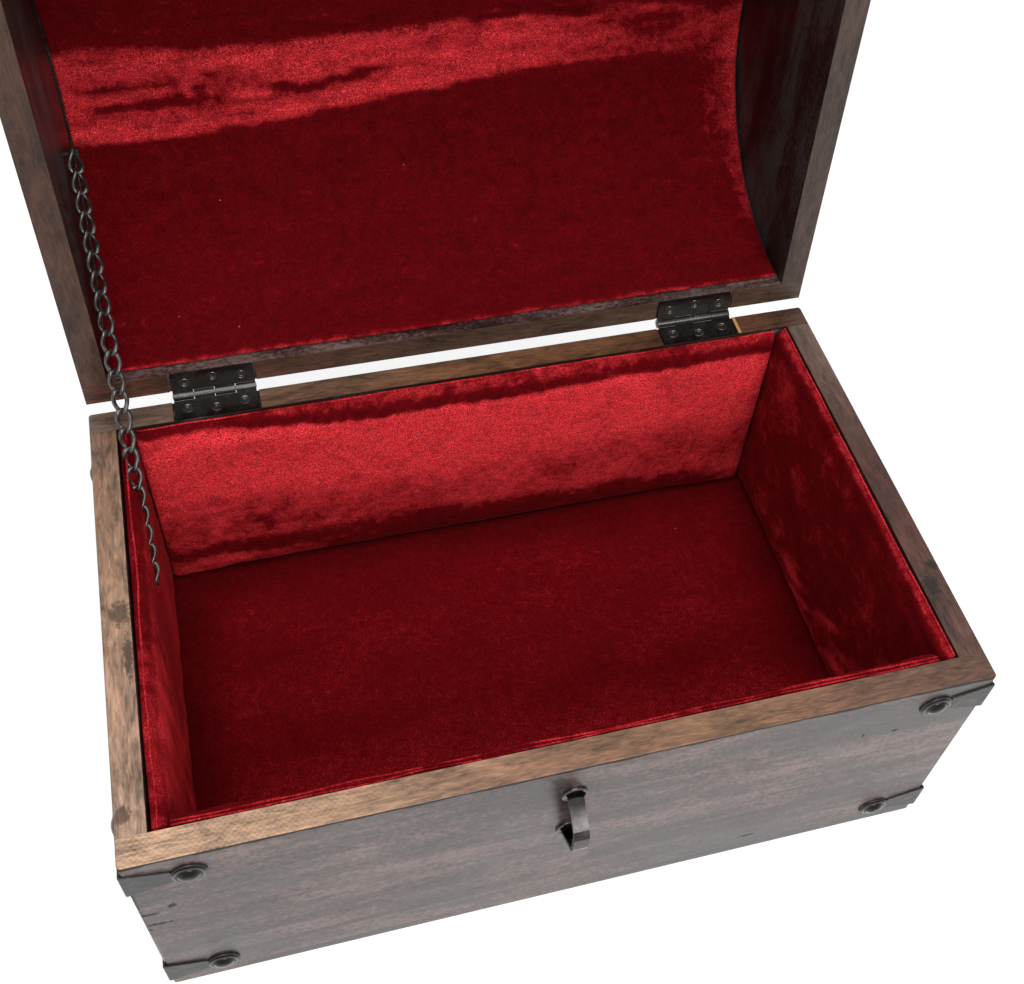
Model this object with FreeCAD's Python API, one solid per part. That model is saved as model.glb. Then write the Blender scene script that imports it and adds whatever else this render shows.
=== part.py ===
import FreeCAD, Part
import math
import os

Vector = FreeCAD.Vector

# Wooden chest with a half-round lid, standing open, lined with padded velvet.
# Millimetres. Origin at the middle of the underside, +Z up, front faces -Y, left is -X.

# The box
chest_length = 380.0
chest_depth = 234.5
base_height = 142.5
board_thickness = 12.6
bottom_thickness = 6.5
corner_rounding = 1.6
rim_bevel = 0.5

# The lid, a half-round barrel of staves between two rails
lid_gap = 0.4
lid_open_angle = 94.5
rail_height = 30.0
stave_count = 7
stave_groove = 0.8

# The velvet pads in the base
pad_edge_thickness = 5.2
pad_crown = 2.8
pad_rounding = 2.2
pad_end_run = 11.0
pad_drop = 1.4
pad_standoff = 0.4
pad_side_gap = 0.6
floor_pad_thickness = 8.0

# The velvet lining glued inside the lid
lining_thickness = 3.0
lining_standoff = 0.3
lining_rise = 5.2
lining_end_gap = 0.6
lining_rounding = 1.0

# The butt hinges
hinge_from_end = 62.0
hinge_length = 41.0
hinge_axis_offset = 2.8
knuckle_radius = 2.4
knuckle_gap = 0.3
knuckle_count = 4
knuckle_clearance = 0.6
leaf_thickness = 1.2
leaf_margin = 0.7
leaf_corner = 1.2
hinge_pin_radius = 1.1
hinge_pin_overhang = 0.3
running_clearance = 0.05
mortise_side_gap = 1.1
screw_from_leaf_end = 6.5
screw_from_axis = (8.4, 10.2, 8.4)
screw_head_radius = 2.5
screw_shank_radius = 1.2
screw_tip_radius = 0.6
screw_length = 10.0
screw_sides = 8
screw_fit = 0.05

# The iron corner brackets and their dome nails
bracket_sheet = 1.0
bracket_corner_height = 19.0
bracket_neck_height = 9.5
bracket_neck = 18.5
bracket_boss_distance = 25.2
bracket_boss_radius = 7.6
bracket_top_centre_below_rim = 16.4
bracket_bottom_centre_above_base = 16.6
nail_head_radius = 5.4
nail_head_height = 2.4
nail_shank_width = 2.2
nail_crown_radius = 1.5
nail_shoulder_share = 0.55
nail_brow_share = 0.74
nail_sides = 12
nail_length = 9.0
nail_fit = 0.05

# The flat iron staple on the front board, and how far it and the hasp stand off the middle
fastening_off_middle = -3.6
staple_width = 7.0
staple_thickness = 1.9
staple_top_foot_below_rim = 24.5
staple_foot_spread = 36.0
staple_reach = 15.0
staple_face_height = 14.0
staple_foot_depth = 9.0
staple_bend_distance = 2.2
staple_bend_run = 2.4
staple_fit = 0.1
washer_radius = 6.0
washer_thickness = 1.3
washer_brow_share = 0.92
washer_sides = 16

# The hasp that folds over the staple
hasp_pivot_above_rim = 8.0
hasp_pivot_offset = 2.8
hasp_knuckle_radius = 2.3
hasp_pin_radius = 1.0
hasp_pin_overhang = 0.4
hasp_sheet = 1.2
hasp_plate_height = 19.0
hasp_plate_drop = 0.5
hasp_nail_distance = 21.5
hasp_plate_neck = 6.0
hasp_middle_knuckle = 9.0
hasp_side_knuckle = 5.5
hasp_strap_thickness = 1.6
hasp_strap_width = 20.0
hasp_strap_root_width = 15.0
hasp_strap_shoulder = 14.0
hasp_slot_clearance = 1.4
hasp_strap_end = 9.5
hasp_lip_length = 6.0
hasp_lip_width = 11.0
hasp_lip_angle = 28.0
hasp_rest_gap = 0.3

# The stay chain of twisted links, hooked on two nails
wire_diameter = 2.2
link_width = 8.4
link_twist = 45.0
link_count = 22
link_slack = 0.12
bow_steps = 4
side_steps = 3
wire_sides = 6
chain_nail_radius = 1.1
chain_nail_head_radius = 2.6
chain_nail_head_height = 1.2
chain_nail_grip = 8.5
chain_nail_brow_share = 0.8
chain_nail_sides = 10
chain_lid_standoff = 4.8
chain_lid_nail_from_rear = 106.65
chain_lid_nail_above_rim = 58.0
chain_base_standoff = 6.6
chain_base_nail_from_rear = 74.55
chain_base_nail_below_rim = 44.3
chain_channel_clearance = 0.5

# One overrun serves every through cut
overrun = 6.0

# Points of a faceted skin closer than this are one point
facet_weld = 0.001

# An edge belongs to a named corner when it passes this close
edge_reach = 0.3
edge_parallel_share = 0.95

# Places worked out from the sizes above
half_length = chest_length / 2
half_depth = chest_depth / 2
inner_half_length = half_length - board_thickness
inner_half_depth = half_depth - board_thickness
lid_rim = base_height + lid_gap
arch_radius = half_depth
arch_inner_radius = arch_radius - board_thickness
hinge_axis = Vector(0, half_depth + hinge_axis_offset, base_height + lid_gap / 2)
leaf_width = hinge_axis_offset + board_thickness - leaf_margin
x_direction = Vector(1, 0, 0)
hasp_pivot = Vector(0, -half_depth - hasp_pivot_offset, lid_rim + hasp_pivot_above_rim)


def block(low, high):
    """Box between two opposite corners."""
    size = high.sub(low)
    return Part.makeBox(size.x, size.y, size.z, low)


def bar_along_x(radius, start, length):
    """Round bar from a start point along +X."""
    return Part.makeCylinder(radius, length, start, x_direction)


def faceted_solid(points, facets):
    """Solid inside a closed skin of triangles, with the flat ones merged."""
    skin = Part.Shape()
    skin.makeShapeFromMesh((points, facets), facet_weld)
    solid = Part.Solid(Part.Shell(skin.Faces)).removeSplitter()
    if solid.Volume < 0:
        solid.reverse()
    return solid


def facet_bar(sides, first_radius, last_radius, place, direction, length):
    """Straight or tapered bar with flat sides from a place along a direction."""
    turn = FreeCAD.Rotation(Vector(0, 0, 1), direction)
    points = []
    for radius, rise in ((first_radius, 0), (last_radius, length)):
        for number in range(sides):
            angle = 2 * math.pi * (number + 0.5) / sides
            corner = Vector(radius * math.cos(angle), radius * math.sin(angle), rise)
            points.append(place + turn.multVec(corner))
    facets = []
    for number in range(sides):
        after = (number + 1) % sides
        facets.append((number, after, after + sides))
        facets.append((number, after + sides, number + sides))
    for number in range(1, sides - 1):
        facets.append((0, number + 1, number))
        facets.append((sides, sides + number, sides + number + 1))
    return faceted_solid(points, facets)


def square_bar(width, place, direction, length):
    """Square bar from a place along a direction."""
    half_diagonal = width / 2 * math.sqrt(2)
    return facet_bar(4, half_diagonal, half_diagonal, place, direction, length)


def open_lid(shape):
    """Turns a shape of the closed lid to where the open lid holds it."""
    turned = shape.copy()
    turned.rotate(hinge_axis, x_direction, -lid_open_angle)
    return turned


def open_point(point):
    """Where a point of the closed lid lies when the lid is open."""
    turn = FreeCAD.Rotation(x_direction, -lid_open_angle)
    return hinge_axis.add(turn.multVec(point.sub(hinge_axis)))


def save(name, solids):
    """Writes one named piece, or a group of equal pieces, as one file."""
    if len(solids) == 1:
        shape = solids[0]
    else:
        shape = Part.makeCompound(solids)
    shape.exportStep("parts/" + name + ".step")


def long_edges(shape, direction, places):
    """Edges that run along a direction and pass near one of the given points."""
    found = []
    for edge in shape.Edges:
        ends = edge.Vertexes[-1].Point.sub(edge.Vertexes[0].Point)
        if ends.Length < facet_weld:
            continue
        along = abs(ends.normalize().dot(direction))
        middle = edge.CenterOfMass
        near = any(middle.distanceToPoint(place) < edge_reach for place in places)
        if along > edge_parallel_share and near:
            found.append(edge)
    return found


# Wooden boards


def base_shell():
    """Whole outside of the base as one block with its upright corners rounded."""
    low = Vector(-half_length, -half_depth, 0)
    high = Vector(half_length, half_depth, base_height)
    shell = block(low, high)
    corners = [Vector(x, y, base_height / 2) for x in (-half_length, half_length)
               for y in (-half_depth, half_depth)]
    shell = shell.makeFillet(corner_rounding, long_edges(shell, Vector(0, 0, 1), corners))
    top_edges = [edge for edge in shell.Edges if edge.CenterOfMass.z > base_height - rim_bevel]
    return shell.makeChamfer(rim_bevel, top_edges)


def base_boards():
    """Front and rear boards over the ends of the side boards, all on the bottom board."""
    shell = base_shell()
    top = base_height + overrun
    out_x = half_length + overrun
    out_y = half_depth + overrun
    regions = {
        "base_front_board": (Vector(-out_x, -out_y, bottom_thickness), Vector(out_x, -inner_half_depth, top)),
        "base_rear_board": (Vector(-out_x, inner_half_depth, bottom_thickness), Vector(out_x, out_y, top)),
        "base_left_board": (Vector(-out_x, -inner_half_depth, bottom_thickness),
                            Vector(-inner_half_length, inner_half_depth, top)),
        "base_right_board": (Vector(inner_half_length, -inner_half_depth, bottom_thickness),
                             Vector(out_x, inner_half_depth, top)),
        "base_bottom_board": (Vector(-out_x, -out_y, -overrun), Vector(out_x, out_y, bottom_thickness)),
    }
    return {name: shell.common(block(low, high)) for name, (low, high) in regions.items()}


def ring_profile(inner, outer, start, end, groove):
    """Closed face of a ring sector in the YZ plane, with the outer corners broken."""
    def at(radius, angle):
        return Vector(0, radius * math.cos(angle), lid_rim + radius * math.sin(angle))
    step = groove / outer
    middle = (start + end) / 2
    edges = []
    edges.append(Part.Arc(at(inner, end), at(inner, middle), at(inner, start)).toShape())
    edges.append(Part.makeLine(at(inner, start), at(outer - groove, start)))
    edges.append(Part.makeLine(at(outer - groove, start), at(outer, start + step)))
    edges.append(Part.Arc(at(outer, start + step), at(outer, middle), at(outer, end - step)).toShape())
    edges.append(Part.makeLine(at(outer, end - step), at(outer - groove, end)))
    edges.append(Part.makeLine(at(outer - groove, end), at(inner, end)))
    return Part.Face(Part.Wire(edges))


def stave(start, end):
    """One full-length stave between two angles about the arch's centre."""
    face = ring_profile(arch_inner_radius, arch_radius, start, end, stave_groove)
    solid = face.extrude(Vector(chest_length, 0, 0))
    solid.translate(Vector(-half_length, 0, 0))
    return solid


def lid_boards():
    """Rails, staves and half-round ends of the lid, where the closed lid has them."""
    rail_angle = math.asin(rail_height / arch_radius)
    pieces = {
        "lid_rear_rail": stave(0, rail_angle),
        "lid_front_rail": stave(math.pi - rail_angle, math.pi),
    }
    step = (math.pi - 2 * rail_angle) / stave_count
    for number in range(stave_count):
        start = rail_angle + number * step
        pieces["lid_stave_" + str(number + 1)] = stave(start, start + step)
    for side, x in (("left", -half_length), ("right", inner_half_length)):
        disc = bar_along_x(arch_inner_radius, Vector(x, 0, lid_rim), board_thickness)
        low = Vector(x - overrun, -half_depth, lid_rim)
        high = Vector(x + board_thickness + overrun, half_depth, lid_rim + half_depth)
        pieces["lid_" + side + "_end"] = disc.common(block(low, high))
    return pieces


# Butt hinges


def hinge_ends(side):
    """Left and right end of a hinge along X, side being -1 or 1."""
    middle = side * (half_length - hinge_from_end)
    return middle - hinge_length / 2, middle + hinge_length / 2


def knuckle_spans(side):
    """Start and end of each knuckle along X, from left to right."""
    start, end = hinge_ends(side)
    pitch = (hinge_length + knuckle_gap) / knuckle_count
    return [(start + n * pitch, start + (n + 1) * pitch - knuckle_gap) for n in range(knuckle_count)]


def screw_places(side, upper):
    """Axis points of a leaf's three screws on the leaf's mating face, with the drive direction."""
    start, _ = hinge_ends(side)
    sign = 1 if upper else -1
    z = hinge_axis.z + sign * lid_gap / 2
    places_along = (screw_from_leaf_end, hinge_length / 2, hinge_length - screw_from_leaf_end)
    return [(Vector(start + along, hinge_axis.y - off, z), Vector(0, 0, sign))
            for along, off in zip(places_along, screw_from_axis)]


def screw(place, direction, ease):
    """Countersunk screw, grown all round by ease to make its hole."""
    head = facet_bar(screw_sides, screw_head_radius + ease, screw_shank_radius + ease, place, direction,
                     leaf_thickness)
    neck = place.add(direction * leaf_thickness)
    shank = facet_bar(screw_sides, screw_shank_radius + ease, screw_tip_radius + ease, neck, direction,
                      screw_length - leaf_thickness)
    return head.fuse(shank).removeSplitter()


def hinge_leaf(side, upper):
    """Leaf with its own two knuckles, cut back round the other leaf's knuckles."""
    start, end = hinge_ends(side)
    sign = 1 if upper else -1
    near = hinge_axis.z + sign * lid_gap / 2
    far = near + sign * leaf_thickness
    low = Vector(start, hinge_axis.y - leaf_width, min(near, far))
    high = Vector(end, hinge_axis.y, max(near, far))
    leaf = block(low, high)
    corners = [Vector(x, low.y, (near + far) / 2) for x in (start, end)]
    leaf = leaf.makeFillet(leaf_corner, long_edges(leaf, Vector(0, 0, 1), corners))
    spans = knuckle_spans(side)
    own = spans[0::2] if upper else spans[1::2]
    other = spans[1::2] if upper else spans[0::2]
    clear_radius = knuckle_radius + knuckle_clearance
    for a, b in other:
        room_start = Vector(a - knuckle_gap, hinge_axis.y, hinge_axis.z)
        room = bar_along_x(clear_radius, room_start, b - a + 2 * knuckle_gap)
        tail = block(Vector(a - knuckle_gap, hinge_axis.y - clear_radius, hinge_axis.z - clear_radius),
                     Vector(b + knuckle_gap, hinge_axis.y + clear_radius, hinge_axis.z + clear_radius))
        leaf = leaf.cut(room.fuse(tail))
    for a, b in own:
        leaf = leaf.fuse(bar_along_x(knuckle_radius, Vector(a, hinge_axis.y, hinge_axis.z), b - a))
    bore = bar_along_x(hinge_pin_radius + running_clearance,
                       Vector(start - overrun, hinge_axis.y, hinge_axis.z), hinge_length + 2 * overrun)
    leaf = leaf.cut(bore)
    for place, direction in screw_places(side, upper):
        leaf = leaf.cut(screw(place, direction, screw_fit))
    return leaf.removeSplitter()


def hinge_pin(side):
    """Pin through the four knuckles of one hinge."""
    start, _ = hinge_ends(side)
    place = Vector(start - hinge_pin_overhang, hinge_axis.y, hinge_axis.z)
    return bar_along_x(hinge_pin_radius, place, hinge_length + 2 * hinge_pin_overhang)


def mortise(side, upper):
    """Recess in a rim that takes one leaf, open to both faces of the board."""
    start, end = hinge_ends(side)
    sign = 1 if upper else -1
    near = hinge_axis.z + sign * lid_gap / 2
    far = near + sign * leaf_thickness
    back = near - sign * overrun
    low = Vector(start - mortise_side_gap, inner_half_depth - overrun, min(back, far))
    high = Vector(end + mortise_side_gap, half_depth + overrun, max(back, far))
    return block(low, high)


def with_hinge_cuts(board, upper):
    """Rim board with the mortises and screw holes of both hinges."""
    for side in (-1, 1):
        board = board.cut(mortise(side, upper))
        for place, direction in screw_places(side, upper):
            board = board.cut(screw(place, direction, screw_fit))
    return board


# Corner brackets and dome nails


def leaf_face(corner_height, neck_height, neck, boss_distance, boss_radius):
    """Leaf outline in the XZ plane that starts at X = 0 and ends in a round boss."""
    tall = corner_height / 2
    slim = neck_height / 2
    corners = [Vector(0, 0, tall), Vector(neck, 0, slim), Vector(neck, 0, -slim), Vector(0, 0, -tall)]
    web = Part.Face(Part.makePolygon(corners + corners[:1]))
    boss = Part.Face(Part.Wire(Part.makeCircle(boss_radius, Vector(boss_distance, 0, 0), Vector(0, 1, 0))))
    return web.fuse(boss).removeSplitter()


def nail():
    """Hammered dome nail at the origin with a square shank driven along +Y."""
    out = Vector(0, -1, 0)
    shoulder = nail_head_height * nail_shoulder_share
    brow = nail_head_radius * nail_brow_share
    skirt = facet_bar(nail_sides, nail_head_radius, brow, Vector(0, 0, 0), out, shoulder)
    crown = facet_bar(nail_sides, brow, nail_crown_radius, out * shoulder, out, nail_head_height - shoulder)
    shank = square_bar(nail_shank_width, Vector(0, 0, 0), Vector(0, 1, 0), nail_length)
    return skirt.fuse([crown, shank]).removeSplitter()


def nail_hole():
    """Square hole that takes a nail's shank, along +Y from the origin."""
    width = nail_shank_width + 2 * nail_fit
    return square_bar(width, Vector(0, 0, 0), Vector(0, 1, 0), nail_length + nail_fit)


def corner_places():
    """Level, corner signs and height of the centre line of each bracket."""
    heights = {"top": base_height - bracket_top_centre_below_rim, "bottom": bracket_bottom_centre_above_base}
    return [(level, x_sign, y_sign, z) for level, z in heights.items() for y_sign in (-1, 1)
            for x_sign in (-1, 1)]


def to_corner(shape, x_sign, y_sign, z):
    """Moves a shape made for the front left corner at height 0 to one corner of the base."""
    placed = shape.copy()
    if x_sign > 0:
        placed = placed.mirror(Vector(0, 0, 0), Vector(1, 0, 0))
    if y_sign > 0:
        placed = placed.mirror(Vector(0, 0, 0), Vector(0, 1, 0))
    placed.translate(Vector(0, 0, z))
    return placed


def on_front_face(shape):
    """Carries a leaf or nail drawn from X = 0 on Y = 0 to the front left corner's front face."""
    placed = shape.copy()
    placed.translate(Vector(-half_length, -half_depth, 0))
    return placed


def on_left_face(shape):
    """Carries the same shape to the left face, running back from the front left corner."""
    placed = shape.mirror(Vector(0, 0, 0), Vector(1, 0, 0))
    placed.rotate(Vector(0, 0, 0), Vector(0, 0, 1), -90)
    placed.translate(Vector(-half_length, -half_depth, 0))
    return placed


def corner_bracket():
    """Angle bracket round the front left corner, with a leaf on each face."""
    face = leaf_face(bracket_corner_height, bracket_neck_height, bracket_neck,
                     bracket_boss_distance, bracket_boss_radius)
    leaf = face.extrude(Vector(0, -bracket_sheet, 0))
    hole = nail_hole()
    hole.translate(Vector(bracket_boss_distance, -bracket_sheet, 0))
    leaf = leaf.cut(hole)
    tall = bracket_corner_height / 2
    post = block(Vector(-half_length - bracket_sheet, -half_depth - bracket_sheet, -tall),
                 Vector(-half_length, -half_depth, tall))
    bracket = on_front_face(leaf).fuse([on_left_face(leaf), post]).removeSplitter()
    outer = [Vector(-half_length - bracket_sheet, -half_depth - bracket_sheet, 0)]
    return bracket.makeChamfer(bracket_sheet / 2, long_edges(bracket, Vector(0, 0, 1), outer))


def bracket_nails():
    """The two nails of one corner bracket."""
    head = nail()
    head.translate(Vector(bracket_boss_distance, -bracket_sheet, 0))
    return [on_front_face(head), on_left_face(head)]


def with_bracket_holes(boards):
    """Boards with the holes of every bracket nail."""
    hole = nail_hole()
    hole.translate(Vector(bracket_boss_distance, -bracket_sheet, 0))
    pair = [on_front_face(hole), on_left_face(hole)]
    holes = [to_corner(shape, x, y, z) for _, x, y, z in corner_places() for shape in pair]
    for name in ("base_front_board", "base_rear_board", "base_left_board", "base_right_board"):
        boards[name] = boards[name].cut(holes)
    return boards


# Staple on the front board


def bent_strip(points, thickness, width):
    """Flat strip bent through points in the YZ plane, centred on X = 0."""
    parts = []
    for first, second in zip(points, points[1:]):
        run = second.sub(first)
        piece = Part.makeBox(width, run.Length, thickness, Vector(-width / 2, 0, -thickness / 2))
        angle = math.degrees(math.atan2(run.z, run.y))
        piece.rotate(Vector(0, 0, 0), x_direction, angle)
        piece.translate(first)
        parts.append(piece)
    for corner in points[1:-1]:
        parts.append(bar_along_x(thickness / 2, corner.sub(Vector(width / 2, 0, 0)), width))
    return parts[0].fuse(parts[1:]).removeSplitter()


def staple_points():
    """Middle line of the staple from its upper foot to its lower foot."""
    face = -half_depth
    top = base_height - staple_top_foot_below_rim
    bottom = top - staple_foot_spread
    slope = (staple_foot_spread - staple_face_height) / 2
    bend = face - staple_bend_distance
    return [Vector(0, face + staple_foot_depth, top), Vector(0, bend, top),
            Vector(0, face - staple_reach, top - slope), Vector(0, face - staple_reach, bottom + slope),
            Vector(0, bend, bottom), Vector(0, face + staple_foot_depth, bottom)]


def eased_corner(before, corner, after):
    """Three points that round one corner of the staple's middle line."""
    start = corner.add(before.sub(corner).normalize() * staple_bend_run)
    end = corner.add(after.sub(corner).normalize() * staple_bend_run)
    return [start, (start + corner * 2 + end) / 4, end]


def staple_strip():
    """The whole staple, bent round at the two ends of its face."""
    points = staple_points()
    upper = eased_corner(points[1], points[2], points[3])
    lower = eased_corner(points[2], points[3], points[4])
    return bent_strip(points[:2] + upper + lower + points[4:], staple_thickness, staple_width)


def beside_middle(shape):
    """Moves a piece of the fastening from the middle plane to where the fastening stands."""
    placed = shape.copy()
    placed.translate(x_direction * fastening_off_middle)
    return placed


def staple_feet_room(ease):
    """Blocks round the staple's two feet, grown by ease."""
    rooms = []
    points = staple_points()
    half = staple_width / 2 + ease
    thick = staple_thickness / 2 + ease
    for foot in (points[0], points[5]):
        rooms.append(block(Vector(-half, -half_depth - overrun, foot.z - thick),
                           Vector(half, foot.y + ease, foot.z + thick)))
    return rooms


def staple_washers():
    """Two round washers on the staple's feet, slotted for the strip."""
    washers = []
    points = staple_points()
    half = staple_width / 2 + staple_fit
    thick = staple_thickness / 2 + staple_fit
    for height in (points[0].z, points[5].z):
        disc = facet_bar(washer_sides, washer_radius, washer_radius * washer_brow_share,
                         Vector(0, -half_depth, height), Vector(0, -1, 0), washer_thickness)
        room = block(Vector(-half, -half_depth - overrun, height - thick),
                     Vector(half, -half_depth + overrun, height + thick))
        washers.append(disc.cut(room))
    return washers


# Hasp on the lid


def hasp_rest_turn():
    """Turn of the strap from hanging down to lying back on the closed lid, in degrees."""
    reach = math.hypot(arch_radius + hasp_pivot_offset, hasp_pivot_above_rim)
    stand = arch_radius + hasp_sheet + hasp_rest_gap + hasp_strap_thickness / 2
    fall = math.atan2(hasp_pivot_above_rim, arch_radius + hasp_pivot_offset)
    lean = math.asin(stand / reach) - fall
    return 270 - math.degrees(lean)


def hasp_knuckle(start, end):
    """Round knuckle of the hasp between two places along X."""
    return bar_along_x(hasp_knuckle_radius, Vector(start, hasp_pivot.y, hasp_pivot.z), end - start)


def hasp_bore():
    """Bore of the hasp's knuckles."""
    half = hasp_middle_knuckle / 2 + hasp_side_knuckle + overrun
    place = Vector(-half, hasp_pivot.y, hasp_pivot.z)
    return bar_along_x(hasp_pin_radius + running_clearance, place, 2 * half)


def hasp_plate():
    """Curved plate on the lid's front with a boss at each end and two knuckles below."""
    middle = hasp_middle_knuckle / 2 + knuckle_gap
    side = middle + hasp_side_knuckle
    right = leaf_face(hasp_plate_height, bracket_neck_height, hasp_plate_neck,
                      hasp_nail_distance - side, bracket_boss_radius)
    right.translate(Vector(side, 0, 0))
    left = right.mirror(Vector(0, 0, 0), Vector(1, 0, 0))
    centre_z = lid_rim + hasp_pivot_above_rim - hasp_plate_drop + hasp_plate_height / 2
    web = Part.makePlane(2 * side, hasp_plate_height, Vector(-side, 0, -hasp_plate_height / 2),
                         Vector(0, -1, 0), x_direction)
    outline = web.fuse([right, left]).removeSplitter()
    outline.translate(Vector(0, -half_depth - 2 * overrun, centre_z))
    prism = outline.extrude(Vector(0, 4 * overrun, 0))
    reach = hasp_nail_distance + bracket_boss_radius + overrun
    outer = bar_along_x(arch_radius + hasp_sheet, Vector(-reach, 0, lid_rim), 2 * reach)
    inner = bar_along_x(arch_radius, Vector(-reach, 0, lid_rim), 2 * reach)
    plate = outer.cut(inner).common(prism)
    plate = plate.fuse([hasp_knuckle(-side, -middle), hasp_knuckle(middle, side)])
    room_radius = hasp_knuckle_radius + knuckle_clearance
    plate = plate.cut(bar_along_x(room_radius, Vector(-middle, hasp_pivot.y, hasp_pivot.z), 2 * middle))
    plate = plate.cut(hasp_bore())
    for hole in hasp_nail_shapes(nail_hole()):
        plate = plate.cut(hole)
    return plate.removeSplitter()


def hasp_nail_shapes(shape):
    """Copies of a nail or hole square to the curved lid at the plate's two bosses."""
    rise = hasp_pivot_above_rim - hasp_plate_drop + hasp_plate_height / 2
    angle = math.degrees(math.asin(rise / arch_radius))
    placed = []
    for x in (-hasp_nail_distance, hasp_nail_distance):
        copy = shape.copy()
        copy.translate(Vector(0, -arch_radius - hasp_sheet, 0))
        copy.rotate(Vector(0, 0, 0), x_direction, -angle)
        copy.translate(Vector(x, 0, lid_rim))
        placed.append(copy)
    return placed


def hasp_strap():
    """Slotted strap as it hangs down over the staple of the closed chest."""
    points = staple_points()
    strap_y = hasp_pivot.y
    half_thick = hasp_strap_thickness / 2
    slot_top = points[1].z + staple_thickness / 2 + hasp_slot_clearance
    slot_bottom = points[4].z - staple_thickness / 2 - hasp_slot_clearance
    slot_half = staple_width / 2 + hasp_slot_clearance
    end_z = slot_bottom - hasp_strap_end
    half = hasp_strap_width / 2
    root = hasp_strap_root_width / 2
    shoulder_z = hasp_pivot.z - hasp_strap_shoulder
    low_z = end_z + half
    outline = [
        Part.makeLine(Vector(-root, 0, hasp_pivot.z), Vector(root, 0, hasp_pivot.z)),
        Part.makeLine(Vector(root, 0, hasp_pivot.z), Vector(half, 0, shoulder_z)),
        Part.makeLine(Vector(half, 0, shoulder_z), Vector(half, 0, low_z)),
        Part.Arc(Vector(half, 0, low_z), Vector(0, 0, end_z), Vector(-half, 0, low_z)).toShape(),
        Part.makeLine(Vector(-half, 0, low_z), Vector(-half, 0, shoulder_z)),
        Part.makeLine(Vector(-half, 0, shoulder_z), Vector(-root, 0, hasp_pivot.z)),
    ]
    strap = Part.Face(Part.Wire(outline)).extrude(Vector(0, hasp_strap_thickness, 0))
    strap.translate(Vector(0, strap_y - half_thick, 0))
    slot_low = Vector(-slot_half, strap_y - overrun, slot_bottom)
    slot_high = Vector(slot_half, strap_y + overrun, slot_top)
    strap = strap.cut(block(slot_low, slot_high))
    side_room = hasp_strap_width - hasp_middle_knuckle / 2
    room = bar_along_x(hasp_knuckle_radius + knuckle_clearance,
                       Vector(-hasp_strap_width, hasp_pivot.y, hasp_pivot.z), side_room)
    strap = strap.cut([room, room.mirror(Vector(0, 0, 0), x_direction)])
    middle = hasp_middle_knuckle / 2
    strap = strap.fuse(hasp_knuckle(-middle, middle)).cut(hasp_bore())
    return strap.fuse(hasp_lip(strap_y, end_z)).removeSplitter()


def hasp_lip(strap_y, end_z):
    """Short finger lip that leans out from the strap's lower end."""
    lean = math.radians(hasp_lip_angle)
    start = Vector(0, strap_y, end_z + hasp_strap_thickness)
    tip = start.add(Vector(0, -math.sin(lean), -math.cos(lean)) * hasp_lip_length)
    return bent_strip([start.add(Vector(0, 0, hasp_strap_thickness)), start, tip],
                      hasp_strap_thickness, hasp_lip_width)


def fold_hasp(shape):
    """Turns the hanging strap back on the lid."""
    folded = shape.copy()
    folded.rotate(hasp_pivot, x_direction, -hasp_rest_turn())
    return folded


def hasp_pin():
    """Pin through the hasp's knuckles."""
    half = hasp_middle_knuckle / 2 + knuckle_gap + hasp_side_knuckle + hasp_pin_overhang
    return bar_along_x(hasp_pin_radius, Vector(-half, hasp_pivot.y, hasp_pivot.z), 2 * half)


# Stay chain


def chain_lid_point():
    """Where the lid's chain nail crosses the chain, with the lid open."""
    closed = Vector(-inner_half_length + chain_lid_standoff, half_depth - chain_lid_nail_from_rear,
                    lid_rim + chain_lid_nail_above_rim)
    return open_point(closed)


def chain_base_point():
    """Where the base's chain nail crosses the chain."""
    return Vector(-inner_half_length + chain_base_standoff, half_depth - chain_base_nail_from_rear,
                  base_height - chain_base_nail_below_rim)


def link_pitch():
    """Distance from one link to the next that fills the span between the nails."""
    span = chain_lid_point().distanceToPoint(chain_base_point())
    return (span + 2 * chain_nail_radius + link_slack) / link_count


def link_route():
    """Middle line of one twisted link along X, as points with the outward direction at each."""
    bow = (link_width - wire_diameter) / 2
    half = (link_pitch() + wire_diameter + link_slack) / 2 - bow
    twist = math.radians(link_twist)

    def ring(angle):
        return Vector(0, math.cos(angle), math.sin(angle))

    route = []
    for end in (1, -1):
        centre = Vector(end * half, 0, 0)
        near = ring(end * twist) * end
        for step in range(bow_steps + 1):
            angle = math.pi * step / bow_steps
            outward = near * math.cos(angle) + Vector(end, 0, 0) * math.sin(angle)
            route.append((centre + outward * bow, outward))
        for step in range(1, side_steps):
            share = step / side_steps
            eased = share * share * (3 - 2 * share)
            outward = ring(end * twist * (1 - 2 * eased)) * -end
            place = Vector(end * half * (1 - 2 * share), 0, 0)
            route.append((place + outward * bow, outward))
    return route


def faceted_ring(route, radius):
    """Closed ring of a many-sided bar along a closed route, a corner of the bar facing outward."""
    count = len(route)
    points = []
    for number, (place, outward) in enumerate(route):
        along = (route[(number + 1) % count][0] - route[number - 1][0]).normalize()
        across = along.cross(outward).normalize()
        out = across.cross(along)
        for corner in range(wire_sides):
            angle = 2 * math.pi * corner / wire_sides
            points.append(place + (out * math.cos(angle) + across * math.sin(angle)) * radius)
    facets = []
    for number in range(count):
        here = number * wire_sides
        there = (number + 1) % count * wire_sides
        for corner in range(wire_sides):
            other = (corner + 1) % wire_sides
            facets.append((here + corner, here + other, there + other))
            facets.append((here + corner, there + other, there + corner))
    return faceted_solid(points, facets)


def chain_link():
    """One twisted link: two round bows turned apart and two sides that wind between them."""
    return faceted_ring(link_route(), wire_diameter / 2)


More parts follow.
